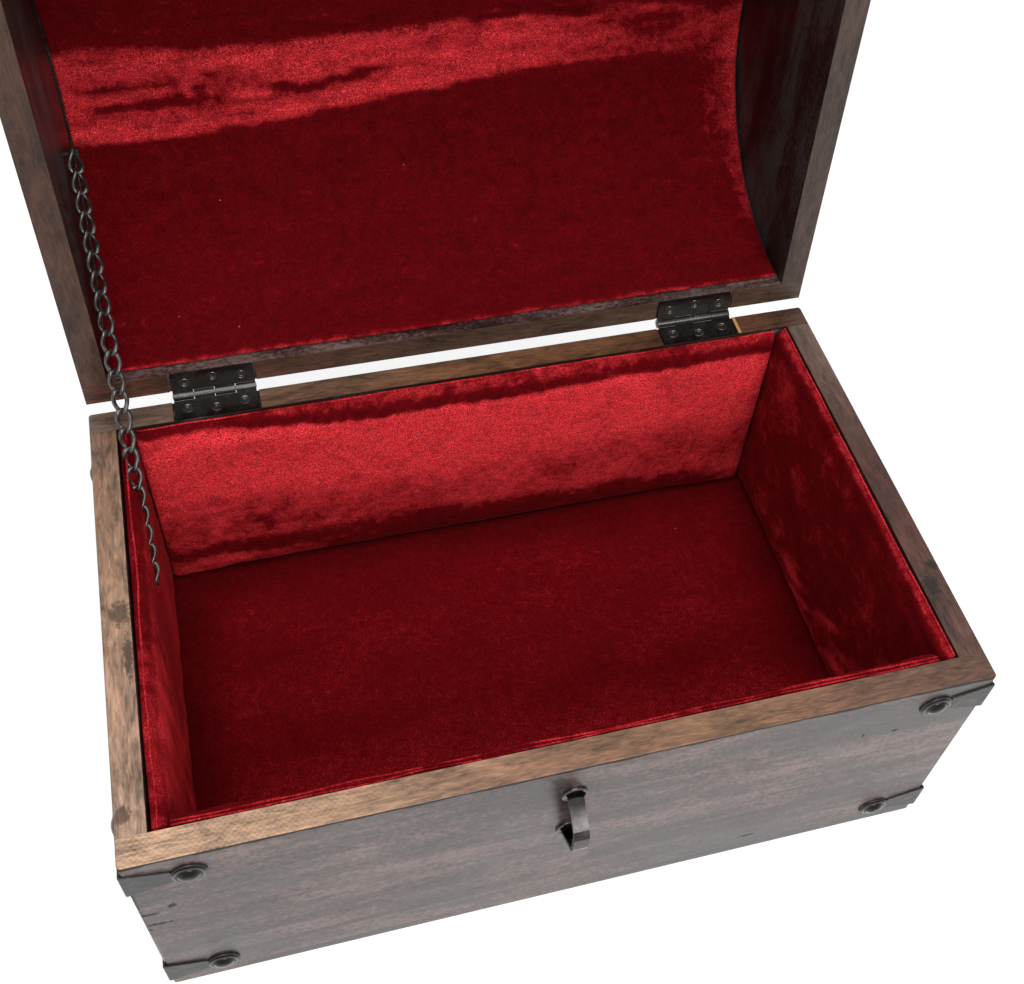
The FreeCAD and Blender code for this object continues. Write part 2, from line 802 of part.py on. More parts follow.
def chain():
    """All links from the lid's nail to the base's, so rolled that both end bows face their nails."""
    top = chain_lid_point()
    along = chain_base_point().sub(top).normalize()
    pitch = link_pitch()
    first = (pitch + link_slack) / 2 - chain_nail_radius - link_slack
    lay = FreeCAD.Rotation(x_direction, along)
    nail_angle = math.degrees(math.atan2(lay.multVec(Vector(0, 0, 1)).x, lay.multVec(Vector(0, 1, 0)).x))
    first_roll = nail_angle - 90 + link_twist
    roll_step = (180 - 2 * link_twist) / (link_count - 1)
    model = chain_link()
    links = []
    for number in range(link_count):
        link = model.copy()
        turn = lay * FreeCAD.Rotation(x_direction, first_roll + number * roll_step)
        link.Placement = FreeCAD.Placement(top.add(along * (first + number * pitch)), turn)
        links.append(link)
    return links


def chain_nail(point, seat_x):
    """Nail along X that holds one end of the chain and enters the wood at seat_x."""
    head_place = Vector(point.x + wire_diameter / 2 + link_slack, point.y, point.z)
    length = head_place.x - seat_x + chain_nail_grip
    shank = facet_bar(chain_nail_sides, chain_nail_radius, chain_nail_radius, head_place,
                      Vector(-1, 0, 0), length)
    head = facet_bar(chain_nail_sides, chain_nail_head_radius, chain_nail_head_radius * chain_nail_brow_share,
                     head_place, x_direction, chain_nail_head_height)
    return shank.fuse(head).removeSplitter()


def chain_nail_room(point, seat_x):
    """Hole for a chain nail in what it passes."""
    length = point.x - seat_x + chain_nail_grip + nail_fit
    radius = chain_nail_radius + nail_fit
    return facet_bar(chain_nail_sides, radius, radius, point, Vector(-1, 0, 0), length)


# Velvet pads and lining


def crowned_outline(span, run):
    """Outline of a pad across its span: flat back, rounded edges, swelling over a run at each side."""
    half = span / 2
    peak = pad_edge_thickness + pad_crown
    easing = pad_rounding * (1 - math.sqrt(0.5))
    rise = run - pad_rounding
    radius = (rise ** 2 + pad_crown ** 2) / (2 * pad_crown)
    turn = math.asin(rise / radius) / 2
    swell = half - run + radius * math.sin(turn)
    height = peak - radius * (1 - math.cos(turn))

    def side(sign):
        outer = Vector(sign * half, 0, pad_edge_thickness - pad_rounding)
        bend = Vector(sign * (half - easing), 0, pad_edge_thickness - easing)
        inner = Vector(sign * (half - pad_rounding), 0, pad_edge_thickness)
        top = Vector(sign * (half - run), 0, peak)
        return outer, bend, inner, Vector(sign * swell, 0, height), top

    edges = []
    for sign in (1, -1):
        outer, bend, inner, middle, top = side(sign)
        edges.append(Part.makeLine(Vector(sign * half, 0, 0), outer))
        edges.append(Part.Arc(outer, bend, inner).toShape())
        edges.append(Part.Arc(inner, middle, top).toShape())
    edges.append(Part.makeLine(Vector(-half, 0, 0), Vector(half, 0, 0)))
    if span - 2 * run > pad_rounding:
        edges.append(Part.makeLine(side(1)[4], side(-1)[4]))
    return Part.Face(Part.Wire(Part.__sortEdges__(edges)))


def padded_panel(length, height):
    """Pad with its back on Z = 0, long in X, swelling from all four edges."""
    along = crowned_outline(length, pad_end_run).extrude(Vector(0, height, 0))
    along.translate(Vector(0, -height / 2, 0))
    across = crowned_outline(height, height / 2)
    across.rotate(Vector(0, 0, 0), Vector(0, 0, 1), 90)
    across = across.extrude(Vector(length, 0, 0))
    across.translate(Vector(-length / 2, 0, 0))
    return along.common(across).removeSplitter()


def wall_pad_height():
    """Height of a wall pad between the floor pad and just below the rim."""
    return base_height - pad_drop - bottom_thickness - floor_pad_thickness - pad_standoff


def stand_pad(panel, turn, back):
    """Stands a flat pad up, turns it about Z and moves its back to a wall."""
    placed = panel.copy()
    placed.rotate(Vector(0, 0, 0), x_direction, 90)
    placed.rotate(Vector(0, 0, 0), Vector(0, 0, 1), turn)
    middle = bottom_thickness + floor_pad_thickness + pad_standoff + wall_pad_height() / 2
    placed.translate(back.add(Vector(0, 0, middle)))
    return placed


def wall_pads():
    """Side pads the full depth, front and rear pads between them."""
    side_length = 2 * (inner_half_depth - pad_side_gap)
    side = padded_panel(side_length, wall_pad_height())
    side_reach = pad_standoff + pad_edge_thickness + pad_crown + pad_side_gap
    long_length = 2 * (inner_half_length - side_reach)
    long = padded_panel(long_length, wall_pad_height())
    back_x = inner_half_length - pad_standoff
    back_y = inner_half_depth - pad_standoff
    return {
        "rear_pad": stand_pad(long, 0, Vector(0, back_y, 0)),
        "front_pad": stand_pad(long, 180, Vector(0, -back_y, 0)),
        "left_pad": stand_pad(side, 90, Vector(-back_x, 0, 0)),
        "right_pad": stand_pad(side, -90, Vector(back_x, 0, 0)),
    }


def floor_pad():
    """Flat pad on the bottom board, under the wall pads."""
    half_x = inner_half_length - pad_side_gap
    half_y = inner_half_depth - pad_side_gap
    top = bottom_thickness + floor_pad_thickness
    pad = block(Vector(-half_x, -half_y, bottom_thickness), Vector(half_x, half_y, top))
    edges = [edge for edge in pad.Edges if edge.CenterOfMass.z > top - pad_side_gap]
    return pad.makeFillet(pad_rounding, edges)


def press_chain_into(pad):
    """Presses the taut chain's channel into a pad and pierces it for the nail."""
    top = chain_lid_point()
    bottom = chain_base_point()
    radius = link_width / 2 + chain_channel_clearance
    run = bottom.sub(top)
    channel = Part.makeCylinder(radius, run.Length, top, run)
    end = Part.makeSphere(radius, bottom)
    seat = -inner_half_length
    return pad.cut([channel, end, chain_nail_room(bottom, seat)])


def lid_lining():
    """Velvet sheet on foam that follows the staves between the lid's ends."""
    outer = arch_inner_radius - lining_standoff
    inner = outer - lining_thickness
    start = math.asin(lining_rise / outer)
    face = ring_profile(inner, outer, start, math.pi - start, lining_standoff)
    length = 2 * (inner_half_length - lining_end_gap)
    solid = face.extrude(Vector(length, 0, 0))
    solid.translate(Vector(-length / 2, 0, 0))
    lips = [Vector(0, sign * inner * math.cos(start), lid_rim + inner * math.sin(start)) for sign in (1, -1)]
    return solid.makeFillet(lining_rounding, long_edges(solid, x_direction, lips))


# Assembly


def build_base():
    """Every piece that stays with the base."""
    pieces = with_bracket_holes(base_boards())
    pieces["base_rear_board"] = with_hinge_cuts(pieces["base_rear_board"], False)
    feet_room = [beside_middle(room) for room in staple_feet_room(staple_fit)]
    pieces["base_front_board"] = pieces["base_front_board"].cut(feet_room)
    nail_point = chain_base_point()
    nail_room = chain_nail_room(nail_point, -inner_half_length)
    pieces["base_left_board"] = pieces["base_left_board"].cut(nail_room)
    pieces["floor_pad"] = floor_pad()
    pieces.update(wall_pads())
    pieces["left_pad"] = press_chain_into(pieces["left_pad"])
    bracket = corner_bracket()
    pieces["hasp_staple"] = beside_middle(staple_strip())
    for side, sign in (("left", -1), ("right", 1)):
        pieces[side + "_hinge_base_leaf"] = hinge_leaf(sign, False)
        pieces[side + "_hinge_pin"] = hinge_pin(sign)
    pieces["chain_base_nail"] = chain_nail(nail_point, -inner_half_length)
    groups = {name: [shape] for name, shape in pieces.items()}
    for level in ("top", "bottom"):
        groups[level + "_corner_brackets"] = [to_corner(bracket, x, y, z) for name, x, y, z in corner_places()
                                              if name == level]
    groups["base_bracket_nails"] = [to_corner(shape, x, y, z) for _, x, y, z in corner_places()
                                    for shape in bracket_nails()]
    groups["base_hinge_screws"] = [screw(place, direction, 0) for side in (-1, 1)
                                   for place, direction in screw_places(side, False)]
    groups["staple_washers"] = [beside_middle(washer) for washer in staple_washers()]
    groups["stay_chain"] = chain()
    return groups


def build_lid():
    """Every piece that turns with the lid, in its open place."""
    pieces = lid_boards()
    pieces["lid_rear_rail"] = with_hinge_cuts(pieces["lid_rear_rail"], True)
    for hole in hasp_nail_shapes(nail_hole()):
        pieces["lid_front_rail"] = pieces["lid_front_rail"].cut(beside_middle(hole))
    pieces["lid_lining"] = lid_lining()
    pieces["hasp_plate"] = beside_middle(hasp_plate())
    pieces["hasp_pin"] = beside_middle(hasp_pin())
    for side, sign in (("left", -1), ("right", 1)):
        pieces[side + "_hinge_lid_leaf"] = hinge_leaf(sign, True)
    groups = {name: [open_lid(shape)] for name, shape in pieces.items()}
    nail_point = chain_lid_point()
    nail_room = chain_nail_room(nail_point, -inner_half_length)
    groups["lid_left_end"] = [groups["lid_left_end"][0].cut(nail_room)]
    groups["chain_lid_nail"] = [chain_nail(nail_point, -inner_half_length)]
    plate_nails = [beside_middle(shape) for shape in hasp_nail_shapes(nail())]
    groups["hasp_plate_nails"] = [open_lid(shape) for shape in plate_nails]
    groups["lid_hinge_screws"] = [open_lid(screw(place, direction, 0)) for side in (-1, 1)
                                  for place, direction in screw_places(side, True)]
    return groups


def build_hasp():
    """The strap, folded back on the open lid."""
    return {"hasp_strap": [open_lid(fold_hasp(beside_middle(hasp_strap())))]}


def main():
    """Builds every piece and writes the files."""
    os.makedirs("parts", exist_ok=True)
    for groups in (build_base(), build_lid(), build_hasp()):
        for name, solids in groups.items():
            save(name, solids)
    pivot = open_point(hasp_pivot)
    print("lid hinge at", hinge_axis, "turns", lid_open_angle)
    print("hasp hinge at", pivot, "turns", round(hasp_rest_turn(), 3))
    print("chain from", chain_lid_point(), "to", chain_base_point(), "pitch", round(link_pitch(), 3))


main()
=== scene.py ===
"""Wooden treasure chest with a half-round lid, lined with crushed red velvet.

Metres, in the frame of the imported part: +Z up, the front faces -Y, left is -X, and
the lid stands open. The script dresses the part's own wood and ironwork, and models
the velvet pads, the lining, the stay chain, the nails and the screws anew.
"""

import logging
import math
from collections.abc import Sequence
from dataclasses import dataclass, field
from enum import Enum

import bpy
from mathutils import Matrix, Vector, noise


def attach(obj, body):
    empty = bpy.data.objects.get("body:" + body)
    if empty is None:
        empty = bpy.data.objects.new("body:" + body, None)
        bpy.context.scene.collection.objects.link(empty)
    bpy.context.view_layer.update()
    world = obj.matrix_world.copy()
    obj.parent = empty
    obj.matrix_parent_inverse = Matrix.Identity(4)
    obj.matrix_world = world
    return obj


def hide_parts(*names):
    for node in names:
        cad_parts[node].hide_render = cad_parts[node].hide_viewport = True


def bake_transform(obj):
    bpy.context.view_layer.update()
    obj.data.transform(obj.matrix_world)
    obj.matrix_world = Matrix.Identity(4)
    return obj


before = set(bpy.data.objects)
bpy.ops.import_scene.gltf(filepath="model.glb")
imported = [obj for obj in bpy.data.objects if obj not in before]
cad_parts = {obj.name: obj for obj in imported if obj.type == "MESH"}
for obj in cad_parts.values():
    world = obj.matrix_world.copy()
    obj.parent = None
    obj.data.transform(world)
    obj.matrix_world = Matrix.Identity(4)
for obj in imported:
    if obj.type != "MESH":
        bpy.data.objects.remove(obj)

logging.basicConfig(level=logging.INFO, format="%(message)s")
LOG = logging.getLogger("chest")

MM = 0.001
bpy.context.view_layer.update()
Colour = tuple[float, float, float]

LID_AXIS = Vector((0.0, 0.12005, 0.1427))
LID_TURN = math.radians(94.5)
ARCH_CENTRE = Vector((0.0, 0.12967, 0.26237))
RIM_BACKWARD = Vector((0.0, 0.99692, -0.07846))


class Body(Enum):
    """The part's bodies, by their names in the record."""

    BASE = "base"
    LID = "lid"
    HASP = "hasp"


class Slot(Enum):
    """The record's material slots."""

    WOOD = "stained_wood"
    VELVET = "red_velvet"
    IRON = "black_iron"
    STEEL = "blackened_steel"
    WIRE = "dark_chain_wire"


class Rim(Enum):
    """Which worn rim a board shows."""

    BASE = "base"
    LID = "lid"
    NONE = "none"


# Node work


class NodeSheet:
    """The node tree of one material, with short calls for what the finishes need."""

    def __init__(self, name: str) -> None:
        """Starts an empty material.

        Args:
            name: The material's name.
        """
        self.material = bpy.data.materials.new(name)
        self.material.use_nodes = True
        self.tree = self.material.node_tree
        self.tree.nodes.clear()

    def feed(self, socket: bpy.types.NodeSocket, value: object) -> None:
        """Links a socket into an input, or sets the input's own value."""
        if isinstance(value, bpy.types.NodeSocket):
            self.tree.links.new(value, socket)
        elif isinstance(value, tuple) and len(value) == 3 and len(socket.default_value) == 4:
            socket.default_value = (*value, 1.0)
        else:
            socket.default_value = value

    def node(self, kind: str, inputs: dict[str | int, object] | None = None, **settings: object) -> bpy.types.Node:
        """Adds a node.

        Args:
            kind: The node's type without its ShaderNode prefix.
            inputs: Values or sockets by input name or number.
            settings: The node's own settings.

        Returns:
            The node.
        """
        made = self.tree.nodes.new("ShaderNode" + kind)
        for key, value in settings.items():
            setattr(made, key, value)
        for key, value in (inputs or {}).items():
            self.feed(made.inputs[key], value)
        return made

    def place(self) -> bpy.types.NodeSocket:
        """Object coordinates."""
        return self.node("TexCoord").outputs["Object"]

    def stretched(self, place: bpy.types.NodeSocket, scale: Sequence[float],
                  shift: Sequence[float] = (0.0, 0.0, 0.0),
                  turn: Sequence[float] = (0.0, 0.0, 0.0)) -> bpy.types.NodeSocket:
        """Coordinates moved, turned and scaled."""
        made = self.node("Mapping", {"Vector": place, "Location": tuple(shift), "Rotation": tuple(turn),
                                     "Scale": tuple(scale)})
        return made.outputs[0]

    def noise(self, place: bpy.types.NodeSocket, scale: float = 1.0, detail: float = 4.0,
              rough: float = 0.55, warp: float = 0.0) -> bpy.types.NodeSocket:
        """Cloudy noise from 0 to 1."""
        made = self.node("TexNoise", {"Vector": place, "Scale": scale, "Detail": detail,
                                      "Roughness": rough, "Distortion": warp})
        return made.outputs["Fac"]

    def sums(self, operation: str, first: object, second: object = 0.0, third: object = 0.0,
             clamp: bool = False) -> bpy.types.NodeSocket:
        """One arithmetic step."""
        made = self.node("Math", operation=operation, use_clamp=clamp)
        for socket, value in zip(made.inputs, (first, second, third)):
            self.feed(socket, value)
        return made.outputs[0]

    def span(self, value: object, low: float, high: float, start: float = 0.0,
             end: float = 1.0) -> bpy.types.NodeSocket:
        """Eased and clamped map of a value from one range to another."""
        made = self.node("MapRange", {"Value": value, "From Min": low, "From Max": high, "To Min": start,
                                      "To Max": end}, interpolation_type="SMOOTHSTEP")
        return made.outputs[0]

    def mixed(self, share: object, first: object, second: object, blend: str = "MIX") -> bpy.types.NodeSocket:
        """Two colours mixed by a share."""
        made = self.node("Mix", data_type="RGBA", blend_type=blend)
        self.feed(made.inputs[0], share)
        self.feed(made.inputs[6], first)
        self.feed(made.inputs[7], second)
        return made.outputs[2]

    def ramp(self, value: object, stops: Sequence[tuple[float, Colour]]) -> bpy.types.NodeSocket:
        """Colour ramp through the given stops."""
        made = self.node("ValToRGB", {"Fac": value})
        while len(made.color_ramp.elements) < len(stops):
            made.color_ramp.elements.new(0.5)
        for element, (at, colour) in zip(made.color_ramp.elements, stops):
            element.position = at
            element.color = (*colour, 1.0)
        return made.outputs["Color"]

    def tinted(self, colour: object, value: object) -> bpy.types.NodeSocket:
        """A colour multiplied by one value."""
        grey = self.node("CombineColor", {0: value, 1: value, 2: value})
        return self.mixed(1.0, colour, grey.outputs[0], "MULTIPLY")

    def swing(self, value: object, size: float) -> bpy.types.NodeSocket:
        """A noise's departure from its middle, multiplied by a size."""
        return self.sums("MULTIPLY", self.sums("SUBTRACT", value, 0.5), size)

    def line(self, value: object, at: float, half: float) -> bpy.types.NodeSocket:
        """Thin line where a value passes a level, as a share from 0 to 1."""
        return self.span(self.sums("ABSOLUTE", self.sums("SUBTRACT", value, at)), half, 0.0)

    def spots(self, place: bpy.types.NodeSocket, scale: float, size: float) -> bpy.types.NodeSocket:
        """Rare round spots, as a share from 0 to 1."""
        cells = self.node("TexVoronoi", {"Vector": place, "Scale": scale, "Randomness": 1.0})
        return self.span(cells.outputs["Distance"], size * scale, 0.4 * size * scale)

    def axes(self, place: bpy.types.NodeSocket) -> list[bpy.types.NodeSocket]:
        """The three coordinates apart."""
        return list(self.node("SeparateXYZ", {0: place}).outputs)

    def finish(self, inputs: dict[str, object], height: object = None, depth: float = 0.0,
               strength: float = 1.0) -> bpy.types.Material:
        """Adds the shader, with an optional bump, and closes the tree.

        Args:
            inputs: The shader's values by name.
            height: The bump's height socket.
            depth: How deep the bump is, in metres.
            strength: How strongly it shows.

        Returns:
            The finished material.
        """
        shader = self.node("BsdfPrincipled", inputs)
        if height is not None:
            bump = self.node("Bump", {"Height": height, "Distance": depth, "Strength": strength})
            self.feed(shader.inputs["Normal"], bump.outputs[0])
        out = self.node("OutputMaterial")
        self.feed(out.inputs["Surface"], shader.outputs[0])
        return self.material


# Finishes


@dataclass(frozen=True)
class Mark:
    """A knot, a crack or a stain: its middle and its half sizes, in millimetres, and how dark it is."""

    middle: tuple[float, float, float]
    half: tuple[float, float, float]
    dark: float = 0.92

    def share(self, sheet: NodeSheet, place: bpy.types.NodeSocket, ragged: object) -> bpy.types.NodeSocket:
        """How much a point belongs to the mark."""
        scale = tuple(1.0 / (half * MM) for half in self.half)
        shift = tuple(-at / half for at, half in zip(self.middle, self.half))
        off = sheet.node("VectorMath", {0: sheet.stretched(place, scale, shift)}, operation="LENGTH")
        rim = sheet.sums("ADD", off.outputs["Value"], sheet.swing(ragged, 1.6))
        return sheet.sums("MULTIPLY", sheet.span(rim, 1.15, 0.45), self.dark)


@dataclass(frozen=True)
class StainedWood:
    """Dark stained hardwood under a thin satin lacquer, with paler worn rims.

    The rim's tones are colours by share of the way along the board: partly the rim's own colour, partly painted light
    that falls off along it.
    """

    name: str
    grain: int = 0
    seed: float = 0.0
    rim: Rim = Rim.NONE
    rim_tones: tuple[tuple[float, Colour], ...] = ((0.0, (0.06, 0.03, 0.02)), (1.0, (0.05, 0.027, 0.018)))
    reach: float = 190.0 * MM
    rim_play: float = 1.0
    sawn: float = 0.0
    dark: Colour = (0.018, 0.0090, 0.0080)
    middle: Colour = (0.066, 0.0360, 0.0325)
    light: Colour = (0.165, 0.1080, 0.1000)
    haze: Colour = (0.088, 0.098, 0.088)
    gloss: float = 0.40
    coat: float = 0.30
    marks: tuple[Mark, ...] = ()
    bare: bool = False

    def scale(self, along: float, across: float) -> tuple[float, float, float]:
        """Mapping scale with the long way of the grain on this board's own axis."""
        values = [across] * 3
        values[self.grain] = along
        return tuple(values)

    def rim_share(self, sheet: NodeSheet, place: bpy.types.NodeSocket) -> bpy.types.NodeSocket:
        """How much a point belongs to the rim that the lid closes on."""
        x, y, z = sheet.axes(place)
        if self.rim is Rim.BASE:
            return sheet.span(z, 0.1420, 0.14235)
        behind = sheet.sums("SUBTRACT", y, ARCH_CENTRE.y)
        above = sheet.sums("SUBTRACT", z, ARCH_CENTRE.z)
        depth = sheet.sums("ADD", sheet.sums("MULTIPLY", behind, RIM_BACKWARD.y),
                           sheet.sums("MULTIPLY", above, RIM_BACKWARD.z))
        return sheet.span(depth, 0.0006, 0.0001)

    def rim_colour(self, sheet: NodeSheet, place: bpy.types.NodeSocket) -> bpy.types.NodeSocket:
        """Worn rim: its tones along the board, partly painted light, with figure, pores, grey patches and saw marks."""
        x, y, z = axes = sheet.axes(place)
        far = sheet.sums("SUBTRACT", z, ARCH_CENTRE.z) if self.grain == 2 else axes[self.grain]
        along = sheet.sums("MULTIPLY_ADD", far, 0.5 / self.reach, 0.5, clamp=True)
        colour = sheet.ramp(along, self.rim_tones)
        shift = (self.seed, 1.0, self.seed * 0.6)
        blotch = sheet.noise(sheet.stretched(place, self.scale(20, 60), shift), 1.0, 5, 0.62, 1.6)
        figure = sheet.noise(sheet.stretched(place, self.scale(55, 330), shift), 1.0, 5, 0.66, 1.4)
        pore = sheet.noise(sheet.stretched(place, self.scale(190, 1500), shift), 1.0, 2, 0.5)
        stain = sheet.noise(sheet.stretched(place, (30, 30, 30), shift), 1.0, 4, 0.6, 1.0)
        shade = sheet.sums("ADD", sheet.swing(blotch, 2.1 * self.rim_play), sheet.swing(figure, 2.3 * self.rim_play))
        shade = sheet.sums("ADD", sheet.sums("ADD", shade, 1.0), sheet.swing(pore, 0.9))
        if self.sawn:
            waves = []
            for slope in (1.0, -1.0):
                run = sheet.sums("ADD", x, sheet.sums("MULTIPLY", y, slope))
                bent = sheet.sums("MULTIPLY_ADD", run, 2500.0, sheet.sums("MULTIPLY", figure, 7.0))
                waves.append(sheet.sums("MULTIPLY", sheet.sums("SINE", bent), sheet.span(stain, 0.35, 0.65)))
            marks = sheet.sums("MULTIPLY", sheet.sums("ADD", *waves), self.sawn)
            shade = sheet.sums("ADD", shade, sheet.sums("MULTIPLY", marks, sheet.span(x, -0.045, -0.085)))
        colour = sheet.tinted(colour, sheet.sums("MAXIMUM", shade, 0.25))
        warm = sheet.sums("MULTIPLY", sheet.span(pore, 0.50, 0.66), 0.30)
        colour = sheet.mixed(warm, colour, sheet.mixed(1.0, colour, (1.55, 1.30, 0.85), "MULTIPLY"))
        if self.bare:
            across = sheet.sums("SUBTRACT", sheet.sums("ABSOLUTE", sheet.sums("SUBTRACT", x, 0.1288)), 0.0212)
            ahead = sheet.sums("SUBTRACT", 0.1062, y)
            off = sheet.sums("MAXIMUM", across, ahead)
            cut = sheet.sums("MULTIPLY", sheet.span(off, 0.0016, 0.0008), sheet.span(x, 0.108, 0.111))
            colour = sheet.mixed(cut, colour, (0.50, 0.25, 0.105))
        grey = sheet.sums("MULTIPLY", sheet.span(stain, 0.58, 0.68), 0.55 * self.rim_play)
        return sheet.mixed(grey, colour, sheet.tinted(colour, 0.48))

    def material(self) -> bpy.types.Material:
        """Makes the material."""
        sheet = NodeSheet(self.name)
        place = sheet.place()
        x, y, z = sheet.axes(place)
        seeded = (self.seed, self.seed * 0.7, self.seed * 1.3)
        figure = sheet.noise(sheet.stretched(place, self.scale(5.0, 30), seeded), 1.0, 7, 0.60, 1.8)
        streak = sheet.noise(sheet.stretched(place, self.scale(14, 240), seeded), 1.0, 5, 0.6, 0.6)
        speck = sheet.noise(sheet.stretched(place, self.scale(480, 620), seeded), 1.0, 3, 0.6)
        pore = sheet.noise(sheet.stretched(place, self.scale(110, 1500), seeded), 1.0, 2, 0.5)
        cloud = sheet.noise(sheet.stretched(place, self.scale(11, 17), seeded), 1.0, 4, 0.55, 0.8)
        mist = sheet.noise(sheet.stretched(place, self.scale(14, 30), (4, self.seed, 8)), 1.0, 4, 0.6, 1.0)
        tone = sheet.sums("ADD", 0.5, sheet.swing(figure, 0.85))
        tone = sheet.sums("ADD", tone, sheet.sums("ADD", sheet.swing(streak, 0.34), sheet.swing(cloud, 1.10)))
        tone = sheet.sums("ADD", tone, sheet.swing(speck, 0.85))
        colour = sheet.ramp(tone, ((0.32, self.dark), (0.50, self.middle), (0.72, self.light)))
        colour = sheet.mixed(sheet.sums("MULTIPLY", sheet.span(mist, 0.48, 0.72), 0.26), colour, self.haze)
        vein = sheet.noise(sheet.stretched(place, self.scale(3.2, 34), (self.seed, 3, 5)), 1.0, 3, 0.5, 1.0)
        veins = sheet.sums("MULTIPLY", sheet.line(vein, 0.5, 0.012), sheet.span(cloud, 0.42, 0.60, 0.1, 0.6))
        colour = sheet.mixed(veins, colour, self.dark)
        fleck = sheet.span(pore, 0.64, 0.74)
        colour = sheet.mixed(sheet.sums("MULTIPLY", fleck, 0.45), colour, self.dark)
        relief = sheet.sums("SUBTRACT", sheet.sums("MULTIPLY_ADD", streak, 0.8, sheet.sums("MULTIPLY", speck, 0.5)),
                            fleck)
        rough = sheet.span(cloud, 0.3, 0.7, self.gloss - 0.06, self.gloss + 0.10)
        if self.rim is Rim.BASE:
            nick = sheet.noise(sheet.stretched(place, self.scale(40, 160), seeded), 1.0, 3, 0.6)
            edge = sheet.span(sheet.sums("ADD", z, sheet.swing(nick, 0.0050)), 0.1402, 0.1412)
            colour = sheet.mixed(edge, colour, (0.012, 0.0045, 0.002))
            below = sheet.sums("SUBTRACT", edge, self.rim_share(sheet, place), clamp=True)
            rough = sheet.sums("MAXIMUM", rough, below)
        if self.rim is Rim.LID and self.grain == 2:
            inner = sheet.span(sheet.sums("ABSOLUTE", x), 0.1800, 0.1780)
            colour = sheet.mixed(inner, colour, sheet.mixed(1.0, colour, (0.22, 0.42, 0.44), "MULTIPLY"))
        if self.rim is not Rim.NONE:
            colour = sheet.mixed(self.rim_share(sheet, place), colour, self.rim_colour(sheet, place))
        for mark in self.marks:
            share = mark.share(sheet, place, speck)
            rough = sheet.sums("MAXIMUM", rough, share)
            colour = sheet.mixed(share, colour, sheet.tinted(colour, 0.04))
            relief = sheet.sums("SUBTRACT", relief, sheet.sums("MULTIPLY", share, 5.0))
        return sheet.finish({"Base Color": colour, "Roughness": rough, "Coat Weight": self.coat,
                             "Coat Roughness": 0.30, "Specular IOR Level": 0.35}, relief, 0.00016, 0.7)


@dataclass(frozen=True)
class Velvet:
    """Crushed velvet, light or dark as its vertex attribute and the clouds say; the attribute holds the lie of its
    fibres together with painted light and shade.
    """

    name: str
    deep: Colour = (0.040, 0.0006, 0.0012)
    middle: Colour = (0.125, 0.0020, 0.0042)
    lit: Colour = (0.740, 0.0340, 0.0440)
    spark: Colour = (0.950, 0.2400, 0.2400)
    crush: float = 0.35
    crush_scale: tuple[float, float, float] = (42.0, 42.0, 42.0)
    grain: float = 1.0
    sheen: float = 0.12

    def material(self) -> bpy.types.Material:
        """Makes the material."""
        sheet = NodeSheet(self.name)
        place = sheet.place()
        # The attribute read here carries painted light and shade as well as the lie of the fibres.
        nap = sheet.node("Attribute", attribute_name="nap").outputs["Fac"]
        cloud = sheet.noise(sheet.stretched(place, self.crush_scale), 1.0, 5, 0.62, 0.9)
        brush = sheet.noise(place, 210.0, 3, 0.6, 0.6)
        tuft = sheet.noise(place, 950.0, 2, 0.6)
        tip = sheet.noise(place, 1900.0, 1, 0.5)
        lie_and_light = sheet.sums("ADD", sheet.sums("ADD", nap, sheet.swing(cloud, 2.4 * self.crush)),
                         sheet.swing(brush, 0.55 * self.grain), clamp=True)
        colour = sheet.ramp(lie_and_light, ((0.0, self.deep), (0.42, self.middle), (1.0, self.lit)))
        lively = sheet.sums("MULTIPLY_ADD", lie_and_light, 1.25 * self.grain, 0.45 * self.grain)
        play = sheet.sums("ADD", sheet.swing(tuft, 1.15), sheet.swing(tip, 1.8))
        shade = sheet.sums("MAXIMUM", sheet.sums("MULTIPLY_ADD", play, lively, 1.0), 0.30)
        colour = sheet.tinted(colour, shade)
        glint = sheet.sums("MULTIPLY", sheet.span(tip, 0.62, 0.74), sheet.span(lie_and_light, 0.35, 1.0, 0.0, 0.55))
        colour = sheet.mixed(glint, colour, self.spark)
        lint = sheet.spots(sheet.stretched(place, (1.0, 1.0, 1.0), (self.crush_scale[0], 3.0, 1.0)), 50.0, 0.00042)
        colour = sheet.mixed(sheet.sums("MULTIPLY", lint, 0.6), colour, (0.62, 0.40, 0.34))
        relief = sheet.sums("MULTIPLY_ADD", tuft, 0.5, sheet.sums("MULTIPLY_ADD", brush, 0.8, cloud))
        return sheet.finish({"Base Color": colour, "Roughness": 0.95, "Specular IOR Level": 0.04,
                             "Sheen Weight": self.sheen, "Sheen Roughness": 0.42,
                             "Sheen Tint": (1.0, 0.05, 0.06)}, relief, 0.0010, 0.55)


